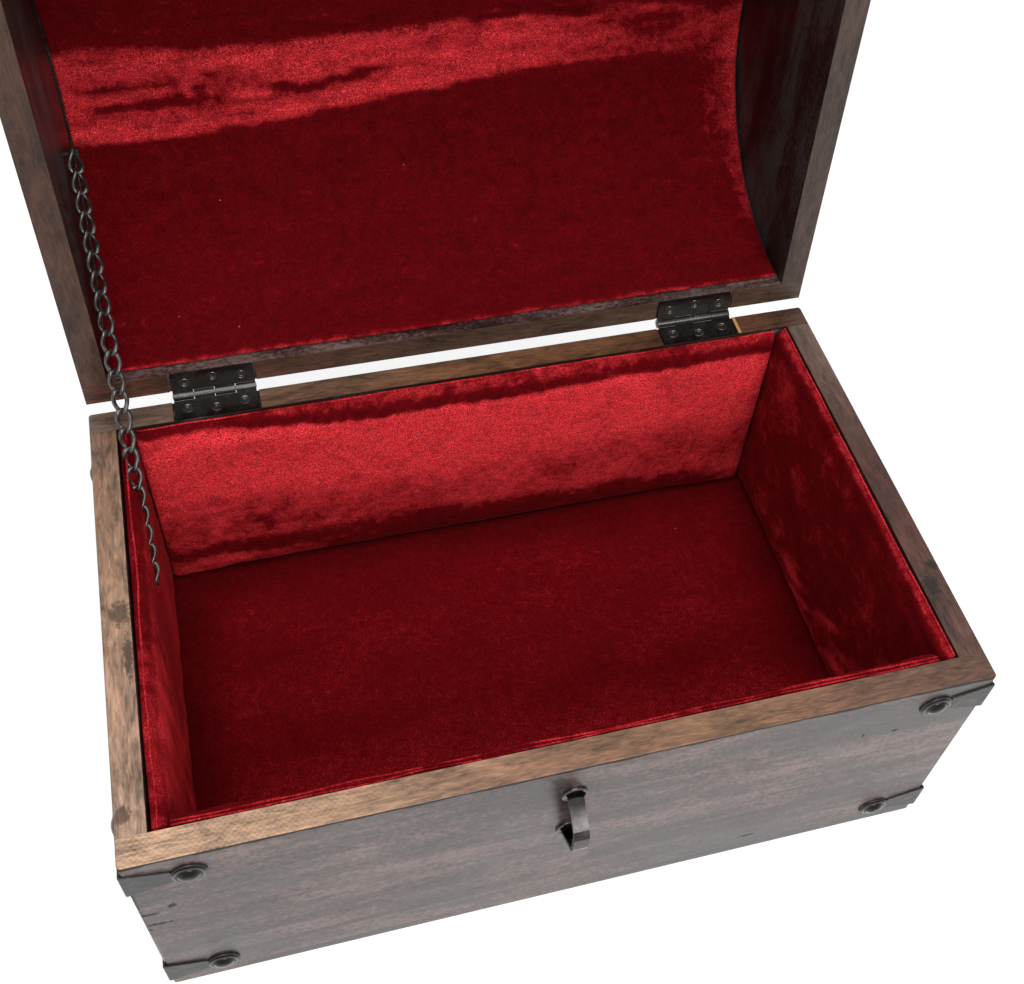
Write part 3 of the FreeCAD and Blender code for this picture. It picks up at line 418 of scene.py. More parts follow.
@dataclass(frozen=True)
class Ironwork:
    """Blackened metal with a satin or glossy skin, uneven from the hammer and worn in patches."""

    name: str
    colour: Colour = (0.040, 0.038, 0.037)
    worn: Colour = (0.130, 0.122, 0.116)
    metal: float = 0.75
    rough: float = 0.34
    hammer: float = 0.00022
    hammer_scale: float = 240.0

    def shaded(self, sheet: NodeSheet, place: bpy.types.NodeSocket,
               colour: bpy.types.NodeSocket) -> bpy.types.NodeSocket:
        """The metal's colour after local stains. Plain metal has none."""
        return colour

    def material(self) -> bpy.types.Material:
        """Makes the material."""
        sheet = NodeSheet(self.name)
        place = sheet.place()
        dents = sheet.noise(place, self.hammer_scale, 3, 0.5, 0.3)
        grime = sheet.noise(place, 900, 3, 0.6)
        patch = sheet.noise(place, 110, 4, 0.6, 0.6)
        wear = sheet.sums("MULTIPLY", sheet.span(patch, 0.46, 0.68), sheet.span(grime, 0.32, 0.66))
        colour = self.shaded(sheet, place, sheet.mixed(wear, self.colour, self.worn))
        rough = sheet.span(sheet.sums("ADD", patch, sheet.sums("MULTIPLY", grime, 0.4)), 0.5, 0.9,
                           self.rough - 0.08, self.rough + 0.14)
        relief = sheet.sums("MULTIPLY_ADD", grime, 0.12, dents)
        return sheet.finish({"Base Color": colour, "Metallic": self.metal, "Roughness": rough,
                             "Specular IOR Level": 0.5}, relief, self.hammer, 0.8)


@dataclass(frozen=True)
class StapleIron(Ironwork):
    """The staple's metal, with painted shade on its arms towards the board and a dark brown painted shade on the upper
    part of its face.
    """

    def shaded(self, sheet: NodeSheet, place: bpy.types.NodeSocket,
               colour: bpy.types.NodeSocket) -> bpy.types.NodeSocket:
        """Paints shade on the arms towards the board and on the upper part of the face."""
        x, y, z = sheet.axes(place)
        # Painted shade: the arms darken towards the board.
        colour = sheet.tinted(colour, sheet.span(y, -0.1215, -0.1300, 0.12, 1.0))
        # Painted shade: the upper part of the face turns dark brown.
        painted_face_shade = sheet.sums("MULTIPLY", sheet.span(y, -0.1322, -0.1329), sheet.span(z, 0.0940, 0.1010, 0.35, 1.0))
        return sheet.mixed(painted_face_shade, colour, (0.026, 0.017, 0.014))


@dataclass(frozen=True)
class NailIron(Ironwork):
    """The dome nails' metal, with painted light: a painted dark reflection on top of the dome and a painted highlight
    along its lower side.
    """

    def shaded(self, sheet: NodeSheet, place: bpy.types.NodeSocket,
               colour: bpy.types.NodeSocket) -> bpy.types.NodeSocket:
        """Paints the dome's dark reflection and its lower highlight onto the metal, as the nails' attribute says."""
        rub = sheet.node("Attribute", attribute_name="rub").outputs["Fac"]
        return sheet.ramp(rub, ((0.0, (0.010, 0.009, 0.009)), (0.5, self.colour), (1.0, (0.42, 0.40, 0.39))))


BLACK_IRON = Ironwork("black_iron_finish", (0.050, 0.049, 0.048), (0.130, 0.124, 0.119), 0.70, 0.38)
NAIL_IRON = NailIron("nail_iron_finish", (0.055, 0.050, 0.048), (0.110, 0.103, 0.098), 0.95, 0.15, 0.00005)
WASHER_IRON = Ironwork("washer_iron_finish", (0.080, 0.074, 0.068), (0.140, 0.130, 0.120), 0.95, 0.18, 0.00005)
STAPLE_IRON = StapleIron("staple_iron_finish", (0.068, 0.064, 0.062), (0.105, 0.100, 0.097), 0.94, 0.22, 0.00006,
                         90.0)
BLACKENED_STEEL = Ironwork("blackened_steel_finish", (0.070, 0.065, 0.061), (0.125, 0.118, 0.112), 0.95, 0.22,
                           0.00005, 380.0)
SCREW_STEEL = Ironwork("screw_steel_finish", (0.110, 0.105, 0.101), (0.210, 0.202, 0.196), 0.95, 0.24, 0.00005)
CHAIN_WIRE = Ironwork("chain_wire_finish", (0.105, 0.095, 0.089), (0.190, 0.176, 0.166), 0.85, 0.30, 0.00006, 600.0)
CHAIN_NAIL = Ironwork("chain_nail_finish", (0.018, 0.016, 0.015), (0.040, 0.037, 0.035), 0.50, 0.50)


# Mesh work


def deselect() -> None:
    """Leaves nothing selected."""
    if bpy.context.mode != "OBJECT":
        bpy.ops.object.mode_set(mode="OBJECT")
    bpy.ops.object.select_all(action="DESELECT")


def activate(piece: bpy.types.Object) -> None:
    """Makes a piece the only one that is selected, and the active one."""
    deselect()
    piece.select_set(True)
    bpy.context.view_layer.objects.active = piece


def settle(piece: bpy.types.Object, matrix: Matrix | None = None) -> bpy.types.Object:
    """Puts a piece's place into its mesh, so that its object sits at the origin.

    Args:
        piece: The piece.
        matrix: A further move, in the part's frame.

    Returns:
        The piece.
    """
    bpy.context.view_layer.update()
    piece.data.transform((matrix or Matrix.Identity(4)) @ piece.matrix_basis)
    piece.matrix_basis = Matrix.Identity(4)
    piece.data.update()
    return piece


def dress(piece: bpy.types.Object, material: bpy.types.Material, body: Body | None) -> bpy.types.Object:
    """Gives a new piece its finish and its body."""
    piece.data.materials.clear()
    piece.data.materials.append(material)
    if body is not None:
        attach(piece, body.value)
    LOG.info("piece %s: %d faces", piece.name, len(piece.data.polygons))
    return piece


def dress_node(node: str, material: bpy.types.Material) -> None:
    """Gives a carried-over CAD node its finish."""
    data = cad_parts[node].data
    if not data.materials:
        data.materials.append(material)
    for number in range(len(data.materials)):
        data.materials[number] = material
    LOG.info("node %s: %s", node, material.name)


def ease_edges(node: str, width: float) -> None:
    """Takes the sharpness off a CAD node's edges with live modifiers."""
    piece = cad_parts[node]
    weld = piece.modifiers.new("joined_corners", "WELD")
    weld.merge_threshold = 0.00001
    bevel = piece.modifiers.new("eased_edges", "BEVEL")
    bevel.width = width
    bevel.segments = 2
    bevel.limit_method = "ANGLE"
    bevel.angle_limit = math.radians(50)


def join(pieces: Sequence[bpy.types.Object], name: str) -> bpy.types.Object:
    """Joins pieces into one."""
    deselect()
    for piece in pieces:
        piece.select_set(True)
    bpy.context.view_layer.objects.active = pieces[0]
    bpy.ops.object.join()
    joined = bpy.context.view_layer.objects.active
    joined.name = name
    joined.data.name = name
    return joined


def stamped(model: bpy.types.Object, matrices: Sequence[Matrix], name: str) -> bpy.types.Object:
    """Copies of a model, each with its own mesh, joined as one piece. The model is removed.

    Args:
        model: The piece that is copied.
        matrices: Where the copies go.
        name: The joined piece's name.

    Returns:
        The joined piece.
    """
    copies = []
    for matrix in matrices:
        copy = model.copy()
        copy.data = model.data.copy()
        bpy.context.scene.collection.objects.link(copy)
        copies.append(settle(copy, matrix))
    bpy.data.objects.remove(model)
    return join(copies, name)


def turned(rings: Sequence[tuple[float, float]], sides: int, name: str) -> bpy.types.Object:
    """Round piece about Z, drawn up ring by ring from a disc as on a lathe.

    Args:
        rings: Radius and height of each ring, in metres. The last radius may be 0.
        sides: How many sides the piece has.
        name: The piece's name.

    Returns:
        The piece, smooth, at the origin.
    """
    deselect()
    radius, height = rings[0]
    bpy.ops.mesh.primitive_circle_add(vertices=sides, radius=radius, fill_type="NGON", location=(0, 0, height))
    piece = bpy.context.active_object
    piece.name = name
    bpy.ops.object.transform_apply(location=True, rotation=True, scale=True)
    bpy.ops.object.mode_set(mode="EDIT")
    bpy.ops.mesh.select_mode(type="FACE")
    bpy.ops.mesh.select_all(action="SELECT")
    for next_radius, next_height in rings[1:]:
        bpy.ops.mesh.extrude_region_move(TRANSFORM_OT_translate={"value": (0, 0, next_height - height)})
        ratio = max(next_radius, 1e-6) / radius
        bpy.ops.transform.resize(value=(ratio, ratio, 1.0), center_override=(0.0, 0.0, next_height))
        radius, height = max(next_radius, 1e-6), next_height
    bpy.ops.mesh.select_all(action="SELECT")
    bpy.ops.mesh.remove_doubles(threshold=2e-6)
    bpy.ops.mesh.normals_make_consistent(inside=False)
    bpy.ops.object.mode_set(mode="OBJECT")
    bpy.ops.object.shade_smooth_by_angle(angle=math.radians(38))
    return piece


def apply_modifiers(piece: bpy.types.Object) -> None:
    """Applies all modifiers of a piece in order."""
    activate(piece)
    for modifier in list(piece.modifiers):
        bpy.ops.object.modifier_apply(modifier=modifier.name)


def tube(points: Sequence[Vector], radius: float, name: str) -> bpy.types.Object:
    """Thin round welt along a smooth line.

    Args:
        points: The control points.
        radius: The welt's radius.
        name: The piece's name.

    Returns:
        The welt as a mesh.
    """
    data = bpy.data.curves.new(name, "CURVE")
    data.dimensions = "3D"
    data.bevel_depth = radius
    data.bevel_resolution = 2
    data.use_fill_caps = True
    spline = data.splines.new("NURBS")
    spline.points.add(len(points) - 1)
    for point, place in zip(spline.points, points):
        point.co = (*place, 1.0)
    spline.order_u = 3
    spline.use_endpoint_u = True
    spline.resolution_u = 2
    curve = bpy.data.objects.new(name, data)
    bpy.context.scene.collection.objects.link(curve)
    activate(curve)
    bpy.ops.object.convert(target="MESH")
    made = bpy.context.view_layer.objects.active
    bpy.ops.object.shade_smooth()
    return made


def facing(origin: Vector, right: Vector, up: Vector, out: Vector) -> Matrix:
    """Matrix that puts a piece drawn with X right, Y up and Z out at a place on the chest."""
    matrix = Matrix((right, up, out)).transposed().to_4x4()
    matrix.translation = origin
    return matrix


def ripple(value: float, seed: float, size: float) -> float:
    """Smooth random line from about -1 to 1 along one length."""
    return noise.noise(Vector((value / size, seed, seed * 0.37)))


def ease(value: float) -> float:
    """Eased share of a value that runs from 0 to 1."""
    held = min(1.0, max(0.0, value))
    return held * held * (3 - 2 * held)


def between(points: Sequence[tuple[float, float]], at: float) -> float:
    """Height of a line through points, held level past its ends."""
    if at <= points[0][0]:
        return points[0][1]
    for (x0, y0), (x1, y1) in zip(points, points[1:]):
        if at <= x1:
            return y0 + (y1 - y0) * (at - x0) / (x1 - x0)
    return points[-1][1]


def bump(x: float, y: float, middle: tuple[float, float], size: tuple[float, float]) -> float:
    """Soft round patch, 1 at its middle."""
    return math.exp(-((x - middle[0]) / size[0]) ** 2 - ((y - middle[1]) / size[1]) ** 2)


# Velvet pads


@dataclass
class VelvetPanel:
    """One padded panel: card behind, velvet drawn over wadding in front, wrapped round the card's edges."""

    name: str
    node: str
    place: Matrix
    length: float
    height: float
    velvet: Velvet
    edge: float = 5.2 * MM
    crown: float = 2.8 * MM
    rounding: float = 2.4 * MM
    side_rounding: float = 1.0 * MM
    side_run: float = 22 * MM
    lower_rounding: float = 2.4 * MM
    lower_lift: float = 0.0
    lean: float = 0.0
    cell: float = 3.0 * MM
    welts: tuple[float, ...] = (0.9 * MM,)
    welt_light: float = 0.72
    welt_wave: float = 0.55 * MM
    top_rise: float = 0.80 * MM
    seed: float = 1.0
    pressure: float = 3.0
    slack: float = 0.012

    def top_wave(self, x: float) -> float:
        """How far the wrapped top edge dips along its length."""
        return MM * (0.40 * ripple(x, self.seed, 0.055) + 0.22 * ripple(x, self.seed + 9, 0.017))

    def pile_and_light(self, x: float, y: float) -> float:
        """How light the velvet is at a point, in millimetres from the panel's middle; other panels add painted light
        and shade to it.
        """
        return 0.36

    def ceiling(self, x: float, y: float) -> float:
        """Greatest height of the velvet over the card at a point."""
        return 1.0

    def blank(self) -> bpy.types.Object:
        """Grid for the card and the velvet, as one closed flat box."""
        deselect()
        across = round(self.length / self.cell)
        rows = round(self.height / self.cell)
        bpy.ops.mesh.primitive_grid_add(x_subdivisions=across, y_subdivisions=rows, size=1.0)
        piece = bpy.context.active_object
        piece.name = self.name
        piece.scale = (self.length, self.height, 1.0)
        bpy.ops.object.transform_apply(location=True, rotation=True, scale=True)
        bpy.ops.object.mode_set(mode="EDIT")
        bpy.ops.mesh.select_all(action="SELECT")
        bpy.ops.mesh.extrude_region_move(TRANSFORM_OT_translate={"value": (0, 0, self.edge)})
        bpy.ops.mesh.select_all(action="SELECT")
        bpy.ops.mesh.normals_make_consistent(inside=False)
        bpy.ops.object.mode_set(mode="OBJECT")
        return piece

    def profile(self, x: float, y: float) -> float:
        """Height of the velvet over the card at a point of the panel."""
        half_x, half_y = self.length / 2, self.height / 2
        from_side = half_x - abs(x)
        from_top = half_y - y
        from_bottom = half_y + y
        level = self.edge
        for distance, radius in ((from_side, self.side_rounding), (from_top, self.rounding),
                                 (from_bottom, self.lower_rounding)):
            if distance < radius:
                level -= radius - math.sqrt(max(radius * radius - (radius - distance) ** 2, 0.0))
        swell = min(1.0, from_side / self.side_run) * min(1.0, from_top / (20 * MM))
        swell *= min(1.0, from_bottom / (16 * MM))
        swell = swell * swell * (3 - 2 * swell)
        lumps = 0.35 * MM * noise.noise(Vector((x * 38, y * 38, self.seed)))
        return max(level, 0.6 * MM) + swell * (self.crown * 0.62 + lumps)

    def shape(self, piece: bpy.types.Object) -> list[int]:
        """Rounds and crowns the blank.

        Returns:
            The numbers of the front's vertices.
        """
        front = []
        half_y = self.height / 2
        for vertex in piece.data.vertices:
            x, y, z = vertex.co
            is_front = z > self.edge / 2
            if is_front:
                front.append(vertex.index)
                z = self.profile(x, y)
            near_top = max(0.0, 1 - (half_y - y) / (9 * MM))
            near_bottom = max(0.0, 1 - (half_y + y) / (9 * MM))
            y += near_top * (self.top_rise - self.top_wave(x))
            y += near_bottom * (self.lower_lift + 0.5 * MM * ripple(x, self.seed + 5, 0.045))
            z += self.lean * ease((half_y - 2 * abs(half_y - y)) / half_y) * (0.8 + 0.4 * ripple(x, 51.0, 0.04))
            vertex.co = (x, y, z)
        return front

    def puff(self, piece: bpy.types.Object, front: list[int]) -> None:
        """Blows the velvet up off the card by a cloth simulation, held at the card and its edges."""
        held = piece.vertex_groups.new(name="glued")
        loose = set(front)
        half_x, half_y = self.length / 2 - 1.2 * MM, self.height / 2 - 1.2 * MM
        pinned = [v.index for v in piece.data.vertices
                  if v.index not in loose or abs(v.co.x) > half_x or abs(v.co.y) > half_y]
        held.add(pinned, 1.0, "REPLACE")
        before = [v.co.copy() for v in piece.data.vertices]
        cloth = piece.modifiers.new("velvet", "CLOTH")
        settings = cloth.settings
        settings.vertex_group_mass = held.name
        settings.quality = 6
        settings.mass = 0.25
        settings.tension_stiffness = 14
        settings.compression_stiffness = 12
        settings.shear_stiffness = 4
        settings.bending_stiffness = 0.25
        settings.use_pressure = True
        settings.uniform_pressure_force = self.pressure
        settings.shrink_min = -self.slack
        settings.effector_weights.gravity = 0.0
        cloth.collision_settings.use_collision = False
        cloth.point_cache.frame_start = 1
        cloth.point_cache.frame_end = 20
        scene = bpy.context.scene
        for number in range(1, 21):
            scene.frame_set(number)
        apply_modifiers(piece)
        scene.frame_set(1)
        highest = self.edge + self.crown
        for vertex, start in zip(piece.data.vertices, before):
            move = vertex.co - start
            if move.length > 2.0 * MM:
                vertex.co = start + move * (2.0 * MM / move.length)
            if vertex.index in loose:
                vertex.co.z = min(vertex.co.z, highest)

    def lay_nap_and_light(self, piece: bpy.types.Object) -> None:
        """Writes how light the velvet is at each vertex of the panel, painted light and shade included."""
        nap = piece.data.attributes.new("nap", "FLOAT", "POINT")
        for vertex in piece.data.vertices:
            x, y, z = vertex.co
            value = self.pile_and_light(x / MM, y / MM) + 0.08 * noise.noise(Vector((x * 30, y * 38, self.seed + 3)))
            nap.data[vertex.index].value = min(1.0, max(0.0, value))

    def press(self, piece: bpy.types.Object, front: list[int]) -> None:
        """Presses the velvet down where something lies in it."""
        for number in front:
            vertex = piece.data.vertices[number]
            vertex.co.z = min(vertex.co.z, self.ceiling(vertex.co.x, vertex.co.y))

    def edge_welts(self) -> bpy.types.Object:
        """Fine folds of velvet along the wrapped upper edge."""
        folds = []
        steps = round(self.length / (4 * MM))
        half_x = self.length / 2 - 1.0 * MM
        top = self.height / 2
        for number, depth in enumerate(self.welts):
            points = []
            for step in range(steps + 1):
                x = -half_x + 2 * half_x * step / steps
                wave = self.welt_wave * ripple(x, self.seed + 20 + number * 7, 0.026)
                rise = self.top_rise - self.top_wave(x) + 0.10 * MM
                points.append(Vector((x, top + rise, depth + self.lean + wave)))
            folds.append(tube(points, 0.45 * MM, f"{self.name}_fold_{number}"))
        joined = join(folds, f"{self.name}_welts")
        nap = joined.data.attributes.new("nap", "FLOAT", "POINT")
        for vertex in joined.data.vertices:
            # Painted highlight: the folds are set bright along the wrapped edge.
            nap.data[vertex.index].value = self.welt_light + 0.2 * ripple(vertex.co.x, self.seed + 2, 0.02)
        return joined

    def build(self) -> None:
        """Makes the panel and its welts and sets them in the chest."""
        piece = self.blank()
        front = self.shape(piece)
        self.puff(piece, front)
        self.press(piece, front)
        smooth = piece.modifiers.new("round", "SUBSURF")
        smooth.levels = 1
        smooth.render_levels = 1
        apply_modifiers(piece)
        self.lay_nap_and_light(piece)
        activate(piece)
        bpy.ops.object.shade_smooth()
        material = self.velvet.material()
        settle(piece, self.place)
        dress(piece, material, Body.BASE)
        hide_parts(self.node)
        if self.welts:
            welts = settle(self.edge_welts(), self.place)
            dress(welts, material, Body.BASE)


@dataclass
class RearPanel(VelvetPanel):
    """The rear panel, light in its middle, partly brushed velvet and partly painted sheen, with a painted shadow under
    its top fold and a painted shade along its foot.
    """

    def pile_and_light(self, x: float, y: float) -> float:
        """How light the velvet is at a point, with its painted light and shade, in millimetres from the panel's middle.
        """
        from_top = self.height / MM / 2 - y
        from_foot = self.height / MM / 2 + y
        top_line = between(((-168, 0.5), (-122, 1.5), (-100, 6.0), (-59, 9.5), (60, 9.0), (168, 7.0)), x)
        top_line += 1.6 * ripple(x, 40.0, 14.0) + 1.0 * ripple(x, 41.0, 5.0)
        foot_line = between(((-168, 25), (-110, 24), (-60, 25), (-20, 26), (30, 20), (90, 21), (168, 12)), x)
        foot_line += 2.5 * ripple(x, 42.0, 18.0) + 1.5 * ripple(x, 43.0, 7.0)
        # The light middle is partly brushed velvet and partly painted sheen.
        light = 0.66 + 0.30 * ease((from_foot - 40) / 40)
        patch = 0.5 + 1.1 * noise.noise(Vector((x / 12, y / 9, 6.0)))
        light -= 0.22 * bump(x, from_foot, (-122, 54), (42, 20)) * patch + 0.12 * bump(x, from_foot, (120, 62), (40, 20))
        # Painted shade: dark under the top fold, as its shadow, and along the foot above the floor.
        dark = 0.29 + 0.24 * ease((top_line - 2.0 - from_top) / 5.0)
        dark += 0.16 * max(0.0, noise.noise(Vector((x / 9, y / 7, 4.0)))) * ease((40 - from_foot) / 10)
        value = dark + (light - dark) * ease((from_top - top_line) / 4.0) * ease((from_foot - foot_line + 3) / 13.0)
        lip = ease((foot_line - 4 - from_foot) / 6.0) * ease((-60 - x) / 60) * 0.34
        return value + lip + 0.30 * ease((x - 140) / 25) * ease((26 - from_foot) / 14)


@dataclass
class LeftPanel(VelvetPanel):
    """The left panel, with the stay chain lying in it."""

    chain_foot: tuple[float, float] = (42.7 * MM, 20.2 * MM)
    chain_way: tuple[float, float] = (0.6948, 0.7193)

    def pile_and_light(self, x: float, y: float) -> float:
        """How light the velvet is at a point, with a painted shadow of the chain, in millimetres from the panel's
        middle.
        """
        from_top = self.height / MM / 2 - y
        # The dark patch near the chain is partly mottled velvet and partly the chain's painted shadow.
        value = 0.44 + 0.16 * ease((-5 - x) / 30) - 0.26 * bump(x, y, (25, 10), (34, 34))
        value += 0.38 * noise.noise(Vector((x / 9, y / 30, 3.0))) * ease((20 - x) / 40)
        value += 0.20 * ease((from_top - 4) / 6) - 0.05
        return value - 0.10 * ease((x - 40) / 40)

    def ceiling(self, x: float, y: float) -> float:
        """Greatest height of the velvet over the card at a point, which leaves room for the chain."""
        ahead, up = x - self.chain_foot[0], y - self.chain_foot[1]
        run = ahead * self.chain_way[0] + up * self.chain_way[1]
        aside = abs(up * self.chain_way[0] - ahead * self.chain_way[1])
        if run < -4 * MM:
            aside = math.hypot(aside, run + 4 * MM)
        return 1.4 * MM - max(0.0, run) * 0.008 + max(0.0, aside - 4.7 * MM) * 1.2


@dataclass
class RightPanel(VelvetPanel):
    """The right panel, dark with a few brushed streaks near the floor, painted highlights along its lower and top edges
    and a painted shade just below the top.
    """

    def pile_and_light(self, x: float, y: float) -> float:
        """How light the velvet is at a point, with its painted light and shade, in millimetres from the panel's middle.
        """
        streak = max(0.0, 0.1 + noise.noise(Vector((x / 34, (y - 0.5 * x) / 9, 5.0))))
        # Brushed streaks near the floor, and a painted highlight along the lower edge.
        value = 0.395 + 1.3 * streak * bump(x, y, (28, -44), (50, 22)) + 0.18 * bump(x, y, (0, -60), (90, 7))
        value += 0.16 * bump(x, y, (-70, 50), (26, 20)) + 0.10 * noise.noise(Vector((x / 14, y / 22, 1.0)))
        near_top = y - self.height / MM / 2
        # Painted shade just below the top, then a painted highlight along the top edge.
        return value - 0.13 * ease((near_top + 10) / 6) + 0.24 * ease((near_top + 1.2) / 1.2)


@dataclass
class FloorPanel(VelvetPanel):
    """The floor panel, darker towards the walls as painted shade."""

    def pile_and_light(self, x: float, y: float) -> float:
        """How light the velvet is at a point, with painted shade along the walls, in millimetres from the panel's
        middle.
        """
        inside = min(self.length / MM / 2 - 8 - abs(x), self.height / MM / 2 - 8 - abs(y))
        # Painted shade: darker towards the walls, where their shadow falls.
        value = 0.23 + 0.19 * ease(inside / 30) + 0.20 * ease((-10 - y) / 60)
        return value + 0.05 * noise.noise(Vector((x / 60, y / 26, 2.0))) * ease(inside / 20)


@dataclass
class ChestPads:
    """The five velvet panels of the base."""

    low: float = 14.9 * MM
    high: float = 141.1 * MM
    half_length: float = 177.0 * MM
    half_depth: float = 104.25 * MM

    def build(self) -> None:
        """Makes all five panels."""
        x_axis, y_axis, z_axis = Vector((1, 0, 0)), Vector((0, 1, 0)), Vector((0, 0, 1))
        middle = (self.low + self.high) / 2
        tall = self.high - self.low
        long_wall, short_wall = 338.4 * MM, 208.1 * MM
        RearPanel("rear_pad_velvet", "rear_pad", facing(Vector((0, self.half_depth, middle)), x_axis, z_axis, -y_axis),
                  long_wall, tall, Velvet("rear_velvet", crush=0.26, crush_scale=(46, 46, 60)), edge=6.4 * MM,
                  crown=1.6 * MM, side_run=6 * MM, side_rounding=0.4 * MM, lower_rounding=3.4 * MM, lower_lift=0.0,
                  welts=(2.0 * MM,), welt_light=0.62, seed=2.0).build()
        VelvetPanel("front_pad_velvet", "front_pad",
                    facing(Vector((0, -self.half_depth, middle)), -x_axis, z_axis, y_axis), long_wall, tall,
                    Velvet("front_velvet"), edge=6.4 * MM, crown=1.6 * MM, side_run=6 * MM, side_rounding=0.4 * MM,
                    welts=(0.7 * MM, 2.3 * MM), welt_light=0.54, welt_wave=1.0 * MM, seed=4.0).build()
        LeftPanel("left_pad_velvet", "left_pad", facing(Vector((-self.half_length, 0, middle)), y_axis, z_axis, x_axis),
                  short_wall, tall, Velvet("left_velvet", lit=(0.56, 0.022, 0.030), crush=0.24,
                                           crush_scale=(34, 46, 60), grain=0.8), edge=6.8 * MM,
                  crown=1.2 * MM, side_run=1 * MM, rounding=3.2 * MM, lean=1.0 * MM, welts=(2.6 * MM,),
                  welt_light=0.74, welt_wave=0.9 * MM, seed=6.0).build()
        RightPanel("right_pad_velvet", "right_pad",
                   facing(Vector((self.half_length, 0, middle)), -y_axis, z_axis, -x_axis), short_wall, tall,
                   Velvet("right_velvet", crush=0.15, crush_scale=(60, 54, 66), grain=0.9), edge=6.8 * MM, crown=1.2 * MM,
                   side_run=1 * MM, welts=(1.4 * MM,), seed=8.0).build()
        FloorPanel("floor_pad_velvet", "floor_pad", facing(Vector((0, 0, 6.5 * MM)), x_axis, y_axis, z_axis),
                   353.6 * MM, short_wall, Velvet("floor_velvet", lit=(0.34, 0.008, 0.013), crush=0.05,
                                                  crush_scale=(22, 60, 22), grain=0.8), crown=0.3 * MM, edge=7.7 * MM, seed=10.0,
                   welts=(), pressure=0.5, slack=0.0, cell=3.6 * MM).build()


# Lid lining


